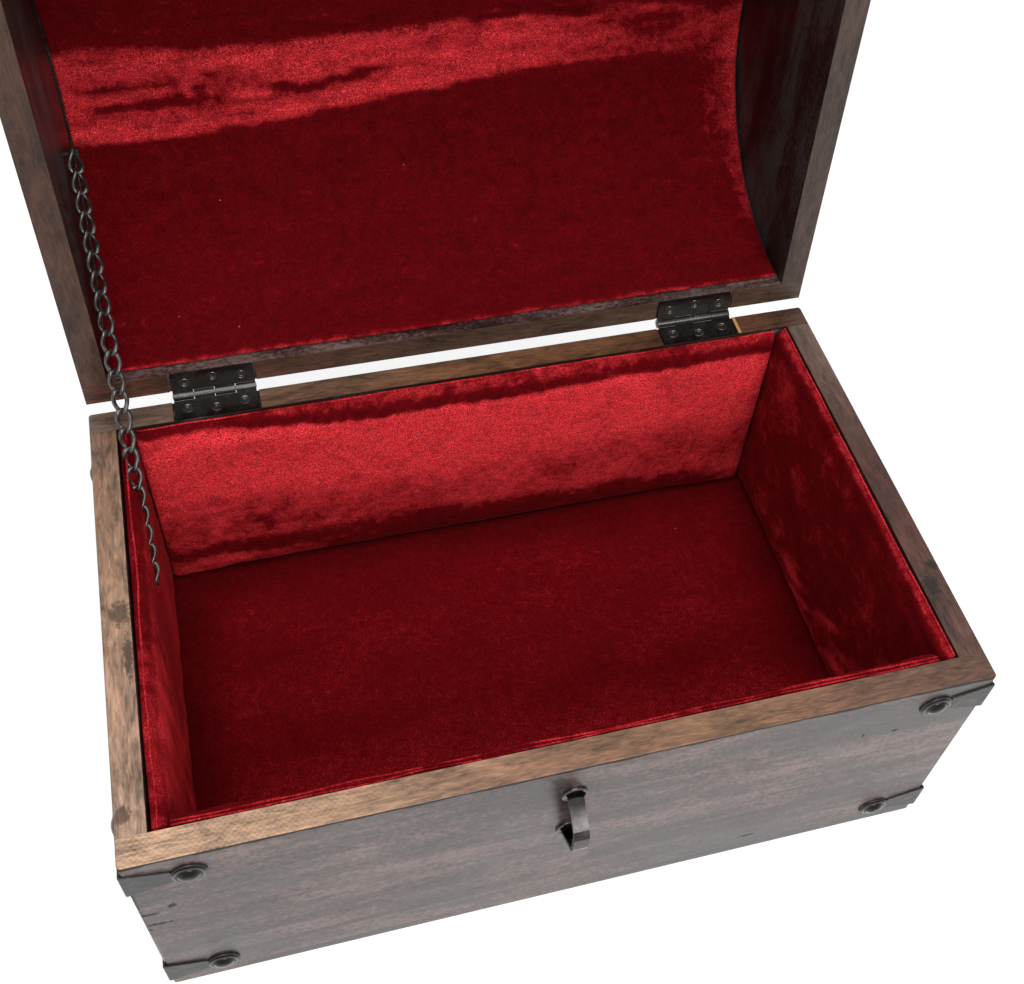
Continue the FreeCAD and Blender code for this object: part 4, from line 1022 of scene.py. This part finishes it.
@dataclass
class LidLining:
    """Velvet over thin foam, glued round the inside of the barrel lid, its lower edges cut by hand."""

    outer: float = 104.35 * MM
    inner: float = 101.35 * MM
    half_length: float = 176.8 * MM
    rise: float = 5.2 * MM
    cell: float = 3.2 * MM
    lower_bound: tuple[tuple[float, float], ...] = ((-180.7, 18.1), (-159, 19.6), (-88, 18.5), (-13, 14.6), (24, 12.4),
                                                    (75, 9.8), (120, 10.6), (174, 14.1))
    upper_bound: tuple[tuple[float, float], ...] = ((-172, -9.5), (-110, -6.4), (-9, -6.6), (54, -9.6), (117, -8.4),
                                                    (176, -1.8))
    creases: tuple[tuple[tuple[float, float], ...], ...] = (
        ((-84, 6.6), (-62, 8.9), (-41, 7.5), (-14, 5.0)), ((20, -6.2), (58, -8.0), (100, -6.1)),
        ((-172, 9.4), (-140, 8.9), (-96, 9.8)), ((-150, 14.6), (-110, 15.0), (-70, 13.6)),
        ((-176, 3.0), (-150, 3.6), (-118, 3.0)))
    velvet: Velvet = field(default_factory=lambda: Velvet("lining_velvet", crush=0.13, crush_scale=(26, 70, 70)))

    def crease(self, x: float, angle: float) -> float:
        """How deep a point lies in one of the thin creases, from 0 to 1.

        Args:
            x: Place along the lid, in millimetres.
            angle: Angle from the crown, in degrees, positive towards the rear rim.

        Returns:
            The crease's depth there.
        """
        deepest = 0.0
        for number, points in enumerate(self.creases):
            ends = min(1.0, max(0.0, (x - points[0][0]) / 12), max(0.0, (points[-1][0] - x) / 12))
            if x < points[0][0] or x > points[-1][0]:
                continue
            half = (2.8, 2.5, 2.2, 0.8, 2.4)[number]
            half *= 1.0 + 0.6 * ripple(x, 64.0 + number, 9.0)
            off = abs(angle - between(points, x) - 0.8 * ripple(x, 60.0 + number, 12.0)) / half
            deepest = max(deepest, (1 - ease(off)) * ends * (1.0, 1.0, 0.8, 0.45, 0.6)[number])
        return deepest

    def band(self, x: float, angle: float) -> float:
        """How light the velvet is: a bright band along the crown of the open lid, partly crushed velvet and partly
        painted sheen, darkened in the creases as painted shade.

        Args:
            x: Place along the lid.
            angle: Angle from the crown, in degrees, positive towards the rear rim.

        Returns:
            The value there, from 0 to 1.
        """
        lower = between(self.lower_bound, x) + 0.7 * ripple(x, 3.0, 22.0) + 0.5 * ripple(x, 5.0, 8.0)
        upper = between(self.upper_bound, x) + 1.2 * ripple(x, 7.0, 26.0) + 0.8 * ripple(x, 8.0, 9.0)
        # Painted sheen: the bright band between the bounds is partly crushed velvet and partly painted light along the
        # crown.
        rising = ease((angle - upper + 2.0) / 4.5)
        falling = ease((lower - angle + 0.5) / 1.8)
        cloud = noise.noise(Vector((x / 34, angle * 0.30, 4.0))) + 0.5 * noise.noise(Vector((x / 13, angle * 0.7, 9.0)))
        blotch = bump(x, angle, (-107, 5.5), (24, 5.5)) * (0.5 + 1.2 * noise.noise(Vector((x / 7, angle * 0.8, 1.0))))
        inside = 0.76 + 0.24 * cloud - 0.50 * max(0.0, blotch) - 0.34 * ease((x - 30) / 130)
        fringe = ease((70 - angle) / 12) * math.exp(-(((176.8 - x) / 7) ** 2))
        corner = bump(x, angle, (168, 22), (16, 26)) * 0.24
        dark = 0.275 - 0.03 * x / 170 + 0.03 * ease((angle - 30) / 30) + 0.03 * ease((-8 - angle) / 5)
        foot = 0.22 * math.exp(-((max(0.0, 86.6 - abs(angle))) / 1.0) ** 2) * (0.8 + ripple(x, 71.0, 6.0))
        value = dark + (inside - dark) * rising * falling + 0.30 * fringe + corner + foot
        # Painted shade: the creases are darkened.
        return value * (1 - 0.75 * self.crease(x, angle))

    def build(self) -> None:
        """Bends a grid round the barrel, ripples it, thickens it and writes how light the velvet is, painted light and
        shade included.
        """
        deselect()
        sweep = math.pi - 2 * self.rise / self.inner
        across = round(2 * self.half_length / self.cell)
        rows = round(sweep * self.inner / self.cell)
        bpy.ops.mesh.primitive_grid_add(x_subdivisions=across, y_subdivisions=rows, size=1.0)
        piece = bpy.context.active_object
        piece.name = "lid_lining_velvet"
        front_up = Vector((0.0, -RIM_BACKWARD.z, RIM_BACKWARD.y))
        naps_and_light = []
        for vertex in piece.data.vertices:
            x = vertex.co.x * 2 * self.half_length
            share = vertex.co.y
            ragged = 1.7 * MM * ripple(x, 30.0 + (share > 0), 0.045) + 1.3 * MM * ripple(x, 33.0, 0.013)
            angle = share * (sweep - 2 * abs(share) * max(0.0, ragged) / self.inner)
            degrees = math.degrees(angle)
            ripples = noise.noise(Vector((x * 12, degrees * 0.16, 2.0))) + 0.6 * noise.noise(
                Vector((x * 30, degrees * 0.4, 6.0)))
            at_edge = min(1.0, (self.half_length - abs(x)) / (10 * MM), (0.5 - abs(share)) * sweep * self.inner / (8 * MM))
            radius = self.inner + 0.9 * MM - 0.45 * MM * ripples * at_edge + 0.8 * MM * self.crease(x / MM, degrees)
            outward = RIM_BACKWARD * math.cos(angle) - front_up * math.sin(angle)
            vertex.co = Vector((x, 0, 0)) + ARCH_CENTRE + outward * radius
            naps_and_light.append(min(1.0, max(0.0, self.band(x / MM, degrees))))
        nap = piece.data.attributes.new("nap", "FLOAT", "POINT")
        nap.data.foreach_set("value", naps_and_light)
        activate(piece)
        bpy.ops.object.mode_set(mode="EDIT")
        bpy.ops.mesh.select_all(action="SELECT")
        bpy.ops.mesh.normals_make_consistent(inside=False)
        bpy.ops.object.mode_set(mode="OBJECT")
        inward = (ARCH_CENTRE - piece.data.polygons[len(piece.data.polygons) // 2].center)
        if piece.data.polygons[len(piece.data.polygons) // 2].normal.dot(inward) < 0:
            piece.data.flip_normals()
        wall = piece.modifiers.new("foam", "SOLIDIFY")
        wall.thickness = 1.9 * MM
        wall.offset = -1.0
        smooth = piece.modifiers.new("round", "SUBSURF")
        smooth.levels = 1
        smooth.render_levels = 1
        apply_modifiers(piece)
        bpy.ops.object.shade_smooth()
        settle(piece)
        dress(piece, self.velvet.material(), Body.LID)
        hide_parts("lid_lining")


# Stay chain


@dataclass
class StayChain:
    """Chain of twisted oval links from the lid's left end to the base's left board."""

    lid_point: Vector = field(default_factory=lambda: Vector((-172.6, 186.658, 247.246)) * MM)
    base_point: Vector = field(default_factory=lambda: Vector((-170.8, 42.7, 98.2)) * MM)
    wire: float = 2.2 * MM
    width: float = 8.4 * MM
    twist: float = math.radians(45.0)
    count: int = 22
    slack: float = 0.12 * MM
    nail: float = 1.1 * MM

    def pitch(self) -> float:
        """Distance from one link to the next."""
        return ((self.base_point - self.lid_point).length + 2 * self.nail + self.slack) / self.count

    def link(self) -> bpy.types.Object:
        """One link along X: a ring of round wire drawn out to an oval and twisted."""
        deselect()
        bow = (self.width - self.wire) / 2
        half = (self.pitch() + self.wire + self.slack) / 2 - bow
        bpy.ops.mesh.primitive_torus_add(major_segments=32, minor_segments=10, major_radius=bow,
                                         minor_radius=self.wire / 2)
        piece = bpy.context.active_object
        for vertex in piece.data.vertices:
            x, y, z = vertex.co
            share = x / bow
            x += half * share * (3 - share * share) / 2
            share = x / (half + bow)
            turn = self.twist * share * (3 - share * share) / 2
            vertex.co = (x, y * math.cos(turn) - z * math.sin(turn), y * math.sin(turn) + z * math.cos(turn))
        piece.data.update()
        return piece

    def build(self) -> None:
        """Threads all links on the line between the nails, rolling slowly from one to the next."""
        along = (self.base_point - self.lid_point).normalized()
        pitch = self.pitch()
        first = (pitch + self.slack) / 2 - self.nail - self.slack
        lay = Vector((1, 0, 0)).rotation_difference(along)
        across, upward = lay @ Vector((0, 1, 0)), lay @ Vector((0, 0, 1))
        first_roll = math.atan2(upward.x, across.x) - math.pi / 2 + self.twist
        step = (math.pi - 2 * self.twist) / (self.count - 1)
        matrices = []
        for number in range(self.count):
            turn = lay.to_matrix().to_4x4() @ Matrix.Rotation(first_roll + number * step, 4, "X")
            matrices.append(Matrix.Translation(self.lid_point + along * (first + number * pitch)) @ turn)
        piece = stamped(self.link(), matrices, "stay_chain_links")
        activate(piece)
        bpy.ops.object.shade_smooth()
        dress(piece, CHAIN_WIRE.material(), None)
        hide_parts("stay_chain")
        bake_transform(piece)


# Nails, screws and washers


@dataclass
class SmallIron:
    """Dome nails in raised rings, hinge screws and staple washers."""

    half_length: float = 190.0 * MM
    half_depth: float = 117.25 * MM
    boss: float = 25.2 * MM
    sheet: float = 1.0 * MM
    off_middle: float = -3.6 * MM
    heights: tuple[float, float] = (126.1 * MM, 16.6 * MM)

    def nail_model(self) -> bpy.types.Object:
        """A dome nail sunk in the raised ring of its boss."""
        rings = [(2.0, -6.0), (2.0, 0.05), (6.8, 0.05), (6.85, 0.35), (6.5, 0.70), (5.9, 0.80), (5.4, 0.70),
                 (5.15, 0.30), (5.05, 0.30), (5.0, 0.75), (4.75, 1.05), (4.3, 1.20), (3.9, 1.45), (3.2, 1.85),
                 (2.4, 2.15), (1.5, 2.32), (0.7, 2.38), (0.0, 2.40)]
        piece = turned([(r * MM, h * MM) for r, h in rings], 40, "dome_nail")
        # Painted light on the nails: dark on top of the dome as a painted reflection, bright along the lower side of
        # the dome and of the ring as a painted highlight.
        rub = piece.data.attributes.new("rub", "FLOAT", "POINT")
        for vertex in piece.data.vertices:
            radius = vertex.co.xy.length / MM
            lower = max(0.0, 0.5 - 0.5 * vertex.co.y / MM / max(radius, 0.1))
            dome = ease((4.9 - radius) / 0.2)
            crescent = ease((radius - 2.2) / 1.6) * lower ** 1.5
            rub.data[vertex.index].value = 0.5 + dome * (0.48 * crescent - 0.45 * (1 - crescent)) + 0.1 * lower * (1 - dome)
        return piece

    def build_bracket_nails(self, material: bpy.types.Material) -> None:
        """Sixteen nails, two to each corner bracket."""
        matrices = []
        up = Vector((0, 0, 1))
        for height in self.heights:
            for x_sign in (-1, 1):
                for y_sign in (-1, 1):
                    out_y, out_x = Vector((0, y_sign, 0)), Vector((x_sign, 0, 0))
                    spot = Vector((x_sign * (self.half_length - self.boss), y_sign * (self.half_depth + self.sheet), height))
                    matrices.append(facing(spot, up.cross(out_y), up, out_y))
                    spot = Vector((x_sign * (self.half_length + self.sheet), y_sign * (self.half_depth - self.boss), height))
                    matrices.append(facing(spot, up.cross(out_x), up, out_x))
        piece = stamped(self.nail_model(), matrices, "bracket_dome_nails")
        dress(piece, material, Body.BASE)
        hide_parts("base_bracket_nails")

    def build_washers(self, material: bpy.types.Material) -> None:
        """Round washers at the staple's two feet, dished towards the strip."""
        rings = [(3.0, -0.2), (5.9, -0.2), (6.0, 0.3), (5.8, 0.9), (5.2, 1.25), (4.4, 1.1), (3.7, 0.5), (3.2, 0.45), (0.0, 0.45)]
        model = turned([(r * MM, h * MM) for r, h in rings], 40, "washer")
        out = Vector((0, -1, 0))
        up = Vector((0, 0, 1))
        spots = [Vector((self.off_middle, -self.half_depth, height)) for height in (118.0 * MM, 82.0 * MM)]
        piece = stamped(model, [facing(spot, up.cross(out), up, out) for spot in spots], "staple_foot_washers")
        dress(piece, material, Body.BASE)
        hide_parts("staple_washers")

    def build_hasp_nails(self, material: bpy.types.Material) -> None:
        """Two dome nails of the hasp's plate, square to the curved lid."""
        rise = 8.0 - 0.5 + 19.0 / 2
        angle = math.asin(rise / 117.25)
        turn = Matrix.Translation(LID_AXIS) @ Matrix.Rotation(-LID_TURN, 4, "X") @ Matrix.Translation(-LID_AXIS)
        matrices = []
        for x in (-25.1, 17.9):
            out = Vector((0, -math.cos(angle), math.sin(angle)))
            up = Vector((0, math.sin(angle), math.cos(angle)))
            spot = Vector((x * MM, 0, 142.9 * MM)) + out * (117.25 + 1.2) * MM
            matrices.append(turn @ facing(spot, up.cross(out), up, out))
        piece = stamped(self.nail_model(), matrices, "hasp_dome_nails")
        dress(piece, material, Body.LID)
        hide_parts("hasp_plate_nails")

    def screw_model(self) -> bpy.types.Object:
        """Countersunk screw with a shallow round dish pressed in its head."""
        rings = [(0.6, -9.0), (1.2, -1.3), (2.5, -0.12), (2.75, 0.05), (2.6, 0.17), (2.3, 0.12), (2.0, -0.12),
                 (1.5, -0.05), (1.15, -0.10), (0.9, -0.45), (0.0, -0.50)]
        return turned([(r * MM, h * MM) for r, h in rings], 28, "screw")

    def build_screws(self, material: bpy.types.Material) -> None:
        """Six screws through the base leaves and six through the lid leaves."""
        turn = Matrix.Translation(LID_AXIS) @ Matrix.Rotation(-LID_TURN, 4, "X") @ Matrix.Translation(-LID_AXIS)
        for upper, node, body in ((False, "base_hinge_screws", Body.BASE), (True, "lid_hinge_screws", Body.LID)):
            matrices = []
            for side in (-1, 1):
                start = side * 128.0 - 20.5
                for along, off in zip((6.5, 20.5, 34.5), (8.4, 10.2, 8.4)):
                    out = Vector((0, 0, -1 if upper else 1))
                    spot = Vector(((start + along) * MM, LID_AXIS.y - off * MM, (142.9 if upper else 142.5) * MM))
                    matrix = facing(spot, Vector((1, 0, 0)), out.cross(Vector((1, 0, 0))), out)
                    matrices.append(turn @ matrix if upper else matrix)
            piece = stamped(self.screw_model(), matrices, node.replace("hinge_screws", "leaf_screws"))
            dress(piece, material, body)
            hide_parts(node)

    def build(self) -> None:
        """Makes all small ironwork."""
        iron = BLACK_IRON.material()
        steel = BLACKENED_STEEL.material()
        screw = SCREW_STEEL.material()
        nail = NAIL_IRON.material()
        self.build_bracket_nails(nail)
        self.build_washers(WASHER_IRON.material())
        self.build_hasp_nails(nail)
        self.build_screws(screw)
        for node in ("top_corner_brackets", "bottom_corner_brackets", "hasp_plate", "hasp_pin", "hasp_strap"):
            dress_node(node, iron)
        dress_node("hasp_staple", STAPLE_IRON.material())
        for node in ("top_corner_brackets", "bottom_corner_brackets", "hasp_plate", "hasp_strap"):
            ease_edges(node, 0.20 * MM)
        ease_edges("hasp_staple", 0.30 * MM)
        for node in ("left_hinge_base_leaf", "left_hinge_lid_leaf", "left_hinge_pin", "right_hinge_base_leaf",
                     "right_hinge_lid_leaf", "right_hinge_pin"):
            dress_node(node, steel)
        wire = CHAIN_NAIL.material()
        for node in ("chain_base_nail", "chain_lid_nail"):
            dress_node(node, wire)


# Woodwork


@dataclass
class Woodwork:
    """The boards of base and lid."""

    def build(self) -> None:
        """Gives each board its own stretch of stained wood."""
        deep, reach = 117.0 * MM, 128.0 * MM
        # Rim tones, partly the rims' own colour and partly painted light: brightest at the front left, darker along the
        # boards towards the right and rear, as the light falls off.
        front = ((0.0, (0.40, 0.255, 0.165)), (0.25, (0.31, 0.185, 0.115)), (0.45, (0.200, 0.103, 0.061)),
                 (0.66, (0.175, 0.090, 0.050)), (1.0, (0.105, 0.052, 0.037)))
        left = ((0.0, (0.335, 0.215, 0.153)), (0.45, (0.297, 0.178, 0.116)), (1.0, (0.165, 0.090, 0.058)))
        rear = ((0.0, (0.115, 0.077, 0.057)), (0.5, (0.132, 0.058, 0.026)), (1.0, (0.068, 0.026, 0.014)))
        right = ((0.0, (0.085, 0.042, 0.030)), (0.5, (0.067, 0.022, 0.015)), (1.0, (0.100, 0.062, 0.047)))
        rail = ((0.0, (0.084, 0.033, 0.020)), (0.5, (0.060, 0.032, 0.020)), (1.0, (0.058, 0.032, 0.020)))
        end_left = ((0.0, (0.056, 0.028, 0.018)), (1.0, (0.050, 0.019, 0.009)))
        front_marks = (Mark((-176.1, -117.3, 95.3), (2.6, 9, 2.0)), Mark((-186.6, -117.3, 90.4), (5.0, 9, 1.1)),
                       Mark((-184.0, -117.3, 78.4), (6.5, 9, 1.1)), Mark((-188.7, -117.3, 73.2), (2.0, 9, 1.0)),
                       Mark((133.5, -117.3, 110.6), (0.7, 9, 2.0)), Mark((150.0, -117.3, 108.0), (1.8, 9, 1.0)),
                       Mark((95.1, -117.3, 16.5), (4.5, 9, 1.4), 0.75))
        left_marks = (Mark((-181.7, -1.1, 142.5), (4.6, 7.5, 4), 0.72), Mark((-179.6, -23.0, 142.5), (2.2, 13, 4), 0.72),
                      Mark((-186.4, -95.1, 142.5), (3.8, 4.6, 4), 0.68), Mark((-180.0, 55.0, 142.5), (2.0, 9, 4), 0.45))
        right_marks = (Mark((181.6, -66.4, 142.5), (4.2, 7.0, 4), 0.70), Mark((187.0, -56.0, 142.5), (3.0, 3.0, 4), 0.70))
        end_right = ((0.0, (0.045, 0.026, 0.018)), (1.0, (0.050, 0.030, 0.022)))
        finishes = {
            "base_front_board": StainedWood("front_board_wood", 0, 1.7, Rim.BASE, front, sawn=0.10, gloss=0.36,
                                            marks=front_marks),
            "base_rear_board": StainedWood("rear_board_wood", 0, 4.1, Rim.BASE, rear, bare=True),
            "base_left_board": StainedWood("left_board_wood", 1, 6.3, Rim.BASE, left, deep, marks=left_marks),
            "base_right_board": StainedWood("right_board_wood", 1, 8.9, Rim.BASE, right, deep, marks=right_marks),
            "base_bottom_board": StainedWood("bottom_board_wood", 0, 11.2),
            "lid_front_rail": StainedWood("front_rail_wood", 0, 13.4, Rim.LID, rail, coat=0.1),
            "lid_rear_rail": StainedWood("rear_rail_wood", 0, 15.8, Rim.LID, rail, coat=0.1),
            "lid_left_end": StainedWood("left_end_wood", 2, 17.1, Rim.LID, end_left, reach, coat=0.1),
            "lid_right_end": StainedWood("right_end_wood", 2, 19.6, Rim.LID, end_right, reach, coat=0.1),
        }
        for number in range(1, 8):
            finishes[f"lid_stave_{number}"] = StainedWood(f"stave_{number}_wood", 0, 20.0 + 2.3 * number)
        for node, finish in finishes.items():
            dress_node(node, finish.material())
            ease_edges(node, 0.45 * MM)


# Studio


@dataclass
class Studio:
    """Pale floor, soft light and the camera at the photograph's angle."""

    camera_place: tuple[float, float, float] = (-0.10848, -0.33031, 0.64462)
    camera_rows: tuple[tuple[float, float, float], ...] = (
        (0.966888, -0.24935, 0.054335), (-0.160274, -0.758996, -0.63106), (0.198595, 0.601456, -0.773829))
    lens: float = 45.63
    shift: tuple[float, float] = (-0.0163, -0.0562)

    def build_camera(self) -> None:
        """Sets the camera."""
        data = bpy.data.cameras.new("camera")
        data.lens = self.lens
        data.sensor_width = 36.0
        data.shift_x, data.shift_y = self.shift
        data.clip_start, data.clip_end = 0.01, 50.0
        right, down, ahead = (Vector(row) for row in self.camera_rows)
        camera = bpy.data.objects.new("camera", data)
        camera.matrix_world = facing(Vector(self.camera_place), right, -down, -ahead)
        bpy.context.scene.collection.objects.link(camera)
        bpy.context.scene.camera = camera

    def build_floor(self) -> None:
        """White floor that keeps the chest's shadow."""
        deselect()
        bpy.ops.mesh.primitive_plane_add(size=12.0, location=(0, 0, -0.0002))
        floor = bpy.context.active_object
        floor.name = "floor"
        sheet = NodeSheet("floor_paper")
        path = sheet.node("LightPath")
        seen = sheet.sums("MAXIMUM", path.outputs["Is Camera Ray"], path.outputs["Is Glossy Ray"])
        seen = sheet.sums("MAXIMUM", seen, path.outputs["Is Transmission Ray"])
        plain = sheet.node("BsdfDiffuse", {"Color": (0.80, 0.80, 0.80)})
        shown = sheet.node("BsdfDiffuse", {"Color": (0.32, 0.32, 0.32)})
        glow = sheet.node("Emission", {"Color": (1.0, 1.0, 1.0), "Strength": 0.78})
        both = sheet.node("AddShader", {0: shown.outputs[0], 1: glow.outputs[0]})
        mixed = sheet.node("MixShader", {0: seen, 1: plain.outputs[0], 2: both.outputs[0]})
        out = sheet.node("OutputMaterial")
        sheet.feed(out.inputs["Surface"], mixed.outputs[0])
        floor.data.materials.append(sheet.material)

    def build_world(self) -> None:
        """Even white surroundings: full white where they are seen, softer where they light the chest."""
        world = bpy.data.worlds.new("surroundings")
        bpy.context.scene.world = world
        world.use_nodes = True
        tree = world.node_tree
        tree.nodes.clear()
        path = tree.nodes.new("ShaderNodeLightPath")
        seen = tree.nodes.new("ShaderNodeMath")
        seen.operation = "MAXIMUM"
        tree.links.new(path.outputs["Is Camera Ray"], seen.inputs[0])
        tree.links.new(path.outputs["Is Transmission Ray"], seen.inputs[1])
        strength = tree.nodes.new("ShaderNodeMapRange")
        tree.links.new(seen.outputs[0], strength.inputs["Value"])
        strength.inputs["To Min"].default_value = 0.62
        strength.inputs["To Max"].default_value = 1.0
        back = tree.nodes.new("ShaderNodeBackground")
        back.inputs["Color"].default_value = (1.0, 1.0, 1.0, 1.0)
        tree.links.new(strength.outputs[0], back.inputs["Strength"])
        out = tree.nodes.new("ShaderNodeOutputWorld")
        tree.links.new(back.outputs[0], out.inputs["Surface"])

    def build_light(self, name: str, place: Vector, aim: Vector, size: float, power: float) -> None:
        """One soft box, aimed at a point."""
        data = bpy.data.lights.new(name, "AREA")
        data.shape = "DISK"
        data.size = size
        data.energy = power
        light = bpy.data.objects.new(name, data)
        light.location = place
        light.rotation_euler = (aim - place).to_track_quat("-Z", "Y").to_euler()
        bpy.context.scene.collection.objects.link(light)

    def build(self) -> None:
        """Sets up the whole studio."""
        scene = bpy.context.scene
        scene.view_settings.view_transform = "Standard"
        self.build_camera()
        self.build_floor()
        self.build_world()
        self.build_light("overhead", Vector((-0.15, -0.25, 1.6)), Vector((0, 0.05, 0.1)), 1.1, 9.5)
        self.build_light("front_fill", Vector((0.3, -1.3, 1.2)), Vector((0, 0, 0.1)), 1.0, 15.0)


def main() -> None:
    """Builds the studio, the woodwork, the velvet, the chain and the ironwork in order."""
    for part in (Studio(), Woodwork(), ChestPads(), LidLining(), StayChain(), SmallIron()):
        LOG.info("building %s", type(part).__name__)
        part.build()


if __name__ == "__main__":
    main()
